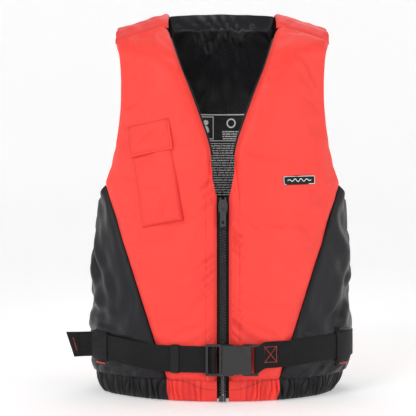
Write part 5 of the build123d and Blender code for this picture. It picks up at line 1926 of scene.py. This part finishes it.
def pocket_flap():
    near = [0, 0.0006, 0.0018, 0.0032, 0.0050]
    w = np.concatenate([-FLAP_HALF + np.array(near), np.linspace(-0.031, 0.031, 30), FLAP_HALF - np.array(near[::-1])])[
        None, :
    ]
    h = np.concatenate([FLAP_FOOT + np.array(near), np.linspace(0.0635, 0.105, 26)])[:, None]
    ww, hh = crossed(w, h)
    edge = np.minimum(FLAP_HALF - np.abs(ww), hh - FLAP_FOOT)
    d = flap_depth(hh) + 0.0006 * np.cos(ww / FLAP_HALF * 1.5)
    d += smooth(edge, 0.0, 0.01) * 0.0007 * waves(ww, hh, 0.045, 95)
    d -= 0.0004 * (bell(edge - 0.0022, 0.0006) + bell(edge - 0.0056, 0.0006))
    d += corner_lift(ww, hh)
    for start, end, width, depth in FLAP_CREASES:
        d -= crease(ww, hh, start, end, width, depth)
    # painted shade: colour deepens along the channel between the two rows of stitching and just under the top seam
    dark = bell(edge - 0.0039, 0.0022) * 0.35 + 0.8 * np.exp(-(0.105 - hh) / 0.002)
    made = sheet_of("flap_cloth", on_pocket(ww, hh, d), pair(ww, hh), dark, 0.0016)
    softened(made)
    made.data.materials.append(RED)
    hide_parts("pocket_flap")
    declare_cloth(made)
    bend_at_seam(made)
    rows = []
    for inset in (0.0022, 0.0056):
        side_h = np.linspace(0.103, FLAP_FOOT + inset, 34)
        foot_w = np.linspace(-FLAP_HALF + inset, FLAP_HALF - inset, 44)
        line = [(-FLAP_HALF + inset, v) for v in side_h] + [(v, FLAP_FOOT + inset) for v in foot_w]
        line += [(FLAP_HALF - inset, v) for v in side_h[::-1]]
        line = np.array(line)
        lift = flap_depth(line[:, 1]) + 0.0006 * np.cos(line[:, 0] / FLAP_HALF * 1.5) + corner_lift(*line.T)
        rows.append(on_pocket(line[:, 0], line[:, 1], lift + 0.0001))
    sewing = STITCHES.on(
        path_object("flap_stitches", rows), "flap_stitches", Pitch=0.0025, Stitch=0.0021,
        Thread=0.00022, Finish=THREAD_RED
    )
    bend_at_seam(sewing)
    return made


FLAP_CREASES = [((0.012, 0.064), (0.028, 0.092), 0.004, 0.0015), ((-0.02, 0.075), (0.004, 0.098), 0.007, 0.0013)]
pocket_flap()

HOOK_LOOP = thread_finish("hook_and_loop", (0.012, 0.012, 0.013), (0.030, 0.030, 0.033))


def fastener(name, depth, out, node, body):
    """Hook or loop tape: a backing with rows of small upright loops."""
    w = np.linspace(-0.025, 0.025, 26)[None, :]
    h = np.linspace(FLAP_FOOT + 0.0008, 0.071 - 0.0002, 8)[:, None]
    ww, hh = crossed(w, h)
    base = on_pocket(ww, hh, pocket_front(hh) + depth)
    made = sheet_of(name, base, pair(ww, hh), ww * 0, 0.0004)
    face_outwards(made)
    finished(made, HOOK_LOOP, body, "hook_loop", node)
    loops = []
    for i, row in enumerate(np.linspace(0.0585, 0.0700, 9)):
        for column in np.linspace(-0.0242, 0.0242, 36):
            turn = np.linspace(0, math.pi, 6)
            w_line = column + 0.00045 * np.cos(turn) + 0.0003 * (i % 2)
            d_line = pocket_front(row) + depth + out * 0.00055 * np.sin(turn)
            loops.append(on_pocket(w_line, np.full(6, row), d_line))
    threaded(name + "_pile", loops, HOOK_LOOP, body, "hook_loop", 0.00009)


fastener("loop_pad", 0.0007, 1, "pocket_loop_tape", "vest")
fastener("hook_pad", 0.0021, -1, "pocket_hook_tape", "flap")

# %% [markdown]
# ## Patch and label
# The chest patch is a small black woven badge with a white border; a plain wave fills it. Inside the back hangs a
# black care label, whose printing is reduced to bars, a frame and a ring.

# %% Chest patch
PATCH_W, PATCH_H = 0.051, 0.0135
PATCH_TILT = math.radians(2.5)


skin = BVHTree.FromObject(bpy.data.objects["front_panel_left"], bpy.context.evaluated_depsgraph_get())


def on_patch(w, h, lift=0.0):
    """Point on the swollen panel, lifted off it; each is found by a ray from in front of the chest."""
    w, h = np.broadcast_arrays(np.asarray(w, float), np.asarray(h, float))
    x = 0.118 + w * math.cos(PATCH_TILT) - h * math.sin(PATCH_TILT)
    z = 0.341 + w * math.sin(PATCH_TILT) + h * math.cos(PATCH_TILT)
    points = np.stack([x, x, z], -1)
    for spot in points.reshape(-1, 3):
        hit = skin.ray_cast((spot[0], -0.5, spot[2]), (0, 1, 0))[0]
        spot[1] = hit[1] - 0.0014 - lift
    return points


def rounded_frame(half_w, half_h, radius, count=8):
    line = []
    for cx, cy, start in ((1, 1, 0), (-1, 1, 90), (-1, -1, 180), (1, -1, 270)):
        for angle in np.radians(np.linspace(start, start + 90, count)):
            line.append(
                (cx * (half_w - radius) + radius * math.cos(angle), cy * (half_h - radius) + radius * math.sin(angle))
            )
    line.append(line[0])
    return np.array(line)


def patch():
    w = np.linspace(-PATCH_W / 2, PATCH_W / 2, 54)[None, :]
    h = np.linspace(-PATCH_H / 2, PATCH_H / 2, 18)[:, None]
    ww, hh = crossed(w, h)
    corner = np.hypot(
        np.maximum(np.abs(ww) - PATCH_W / 2 + 0.002, 0), np.maximum(np.abs(hh) - PATCH_H / 2 + 0.002, 0)
    )
    pull = np.where(corner > 0.002, 0.002 / np.maximum(corner, 1e-9), 1.0)
    ww = np.where(corner > 0.002, np.sign(ww) * (PATCH_W / 2 - 0.002 + (np.abs(ww) - PATCH_W / 2 + 0.002) * pull), ww)
    hh = np.where(corner > 0.002, np.sign(hh) * (PATCH_H / 2 - 0.002 + (np.abs(hh) - PATCH_H / 2 + 0.002) * pull), hh)
    made = sheet_of("patch_cloth", on_patch(ww, hh), pair(ww, hh), ww * 0, 0.0012)
    finished(made, KEEPER_BLACK, "vest", "patch", "chest_patch")
    declare_cloth(made)
    border = [rounded_frame(PATCH_W / 2 - k, PATCH_H / 2 - k, 0.0018) for k in (0.0005, 0.0010)]
    lines = [on_patch(line[:, 0], line[:, 1], 0.0001) for line in border]
    w = np.linspace(-0.019, 0.019, 90)
    for k, shift in enumerate((-0.0004, 0.0, 0.0004)):
        wave = 0.0022 * np.sin(w / 0.0095 * 2 * math.pi) * (1 - (w / 0.022) ** 2)
        lines.append(on_patch(w, wave + shift, 0.0001))
    threaded("patch_thread", lines, THREAD_WHITE, "vest", "patch", 0.0003)


patch()

# %% Care label
LABEL_W, LABEL_H = 0.120, 0.155
LABEL_X, LABEL_Z = 0.006, 0.392


def label_finish():
    print_on = Finish("label_print", Specular_IOR_Level=0.35)
    uv, across, up = print_on.map()
    pitch = 0.0043
    line = up * (1 / pitch)
    row = line.part()
    number = line - row
    spot = print_on.add("ShaderNodeTexWhiteNoise", {"noise_dimensions": "1D"}, {"W": number}, 0)
    words = print_on.add(
        "ShaderNodeTexNoise", {"noise_dimensions": "2D"}, {"Vector": uv, "Scale": 520.0, "Detail": 0.0}
    )
    bar = row.above(0.34) * (0.80 - row).above(0.0)
    long = (spot * 0.016 + 0.040 - across.size()).above(0.0)
    lower = (0.020 - up).above(0.0) * (up + 0.072).above(0.0)
    text = bar * long * lower * words.above(0.40)
    rule = ((up - 0.0732).size() * -1 + 0.0009).above(0.0) * (0.056 - across.size()).above(0.0)
    rule = rule + ((up - 0.0245).size() * -1 + 0.0007).above(0.0) * (0.056 - across.size()).above(0.0)
    frame_x = ((across + 0.036).size() - 0.0145).size()
    frame_y = ((up - 0.0485).size() - 0.0205).size()
    in_x, in_y = (0.0152 - (across + 0.036).size()).above(0.0), (0.0212 - (up - 0.0485).size()).above(0.0)
    frame_line = ((0.0007 - frame_x).above(0.0) * in_y + (0.0007 - frame_y).above(0.0) * in_x).least(1.0)
    dx, dy = across + 0.036, up - 0.058
    head = (0.0050 - (dx * dx + dy * dy).power(0.5)).above(0.0)
    dy = up - 0.042
    body_mark = (0.0075 - (dx * dx * 1.6 + dy * dy * 0.55).power(0.5)).above(0.0) * ((dy * 260).sine() + 0.55).above(
        0.0
    )
    dx, dy = across - 0.014, up - 0.057
    ring = (0.0013 - ((dx * dx + dy * dy).power(0.5) - 0.0078).size()).above(0.0)
    top_bars = bar * (0.0215 - (across - 0.018).size()).above(0.0) * (up - 0.0265).above(0.0) * (0.044 - up).above(
        0.0
    )
    ink = (text + rule + frame_line + head + body_mark + ring + top_bars * words.above(0.36)).least(1.0)
    worn = print_on.noise(uv, 180.0, 3.0, 0.7)
    ink = ink * worn.ramp(0.22, 0.34)
    body = print_on.mix(ink, (0.010, 0.010, 0.012), (0.95, 0.95, 0.94))
    crumple = print_on.noise(uv, 60.0, 3.0)
    gloss = ink * 0.12 + (crumple - 0.5) * 0.2 + 0.42
    return print_on.set(Base_Color=body, Roughness=gloss, Normal=print_on.bump(crumple, 0.0006, 0.5))


def care_label():
    w = np.linspace(-LABEL_W / 2, LABEL_W / 2, 60)[None, :]
    h = np.linspace(-LABEL_H / 2, LABEL_H / 2, 76)[:, None]
    ww, hh = crossed(w, h)
    x, z = LABEL_X + ww, LABEL_Z + hh
    a = round_at(x)
    curl = 0.0008 * waves(a, z, 0.07, 97) + 0.0015
    edge = np.minimum(LABEL_W / 2 - np.abs(ww), LABEL_H / 2 - np.abs(hh))
    inset = 0.0392 + np.abs(curl) + 0.0004 * smooth(edge, 0, 0.006)
    points = laid(a, up_at(x, z), inset, 1)
    made = sheet_of("care_label", points, pair(ww, hh), ww * 0, 0.0006)
    face_outwards(made)
    finished(made, label_finish(), "vest", "label", "back_label")
    declare_cloth(made)
    frame_line = rounded_frame(LABEL_W / 2 - 0.002, LABEL_H / 2 - 0.002, 0.002)
    x, z = LABEL_X + frame_line[:, 0], LABEL_Z + frame_line[:, 1]
    rim = laid(round_at(x), up_at(x, z), 0.0400 + np.abs(0.0008 * waves(round_at(x), z, 0.07, 97) + 0.0015), 1)
    stitched("label_stitches", [rim], THREAD_BLACK, "vest", "label")


care_label()

# %% Floor
profile = [(0.6, 0), (1.4, 0), (2.4, 0), (3.0, 0.06), (3.4, 0.25), (3.7, 0.7), (3.8, 1.4), (3.8, 2.4)]
turn = np.linspace(0, 2 * math.pi, 64, endpoint=False)
floor_points = [(r * math.cos(t), r * math.sin(t), h) for r, h in profile for t in turn] + [(0, 0, 0)]
faces = grid_faces(len(profile), len(turn), flip=True, close=True)
faces += [(len(floor_points) - 1, k, (k + 1) % len(turn)) for k in range(len(turn))]
floor = new_mesh("floor", np.array(floor_points), faces)
pale = Finish(
    "floor_paper", Roughness=0.9, Specular_IOR_Level=0.1, Emission_Color=(1, 1, 1, 1), Emission_Strength=0.3
)
floor.data.materials.append(pale.set(Base_Color=(0.93, 0.93, 0.93, 1)))
floor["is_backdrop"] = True

# %% Size and finish
low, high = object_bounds()
size = {"cad": [list(CAD_LOW), list(CAD_HIGH)], "visual": [list(low), list(high)]}
grown = [round((h - l) - (H - L), 4) for l, h, L, H in zip(low, high, CAD_LOW, CAD_HIGH)]
print("visual box", [round(v, 3) for v in (*low, *high)], "grown by", grown)
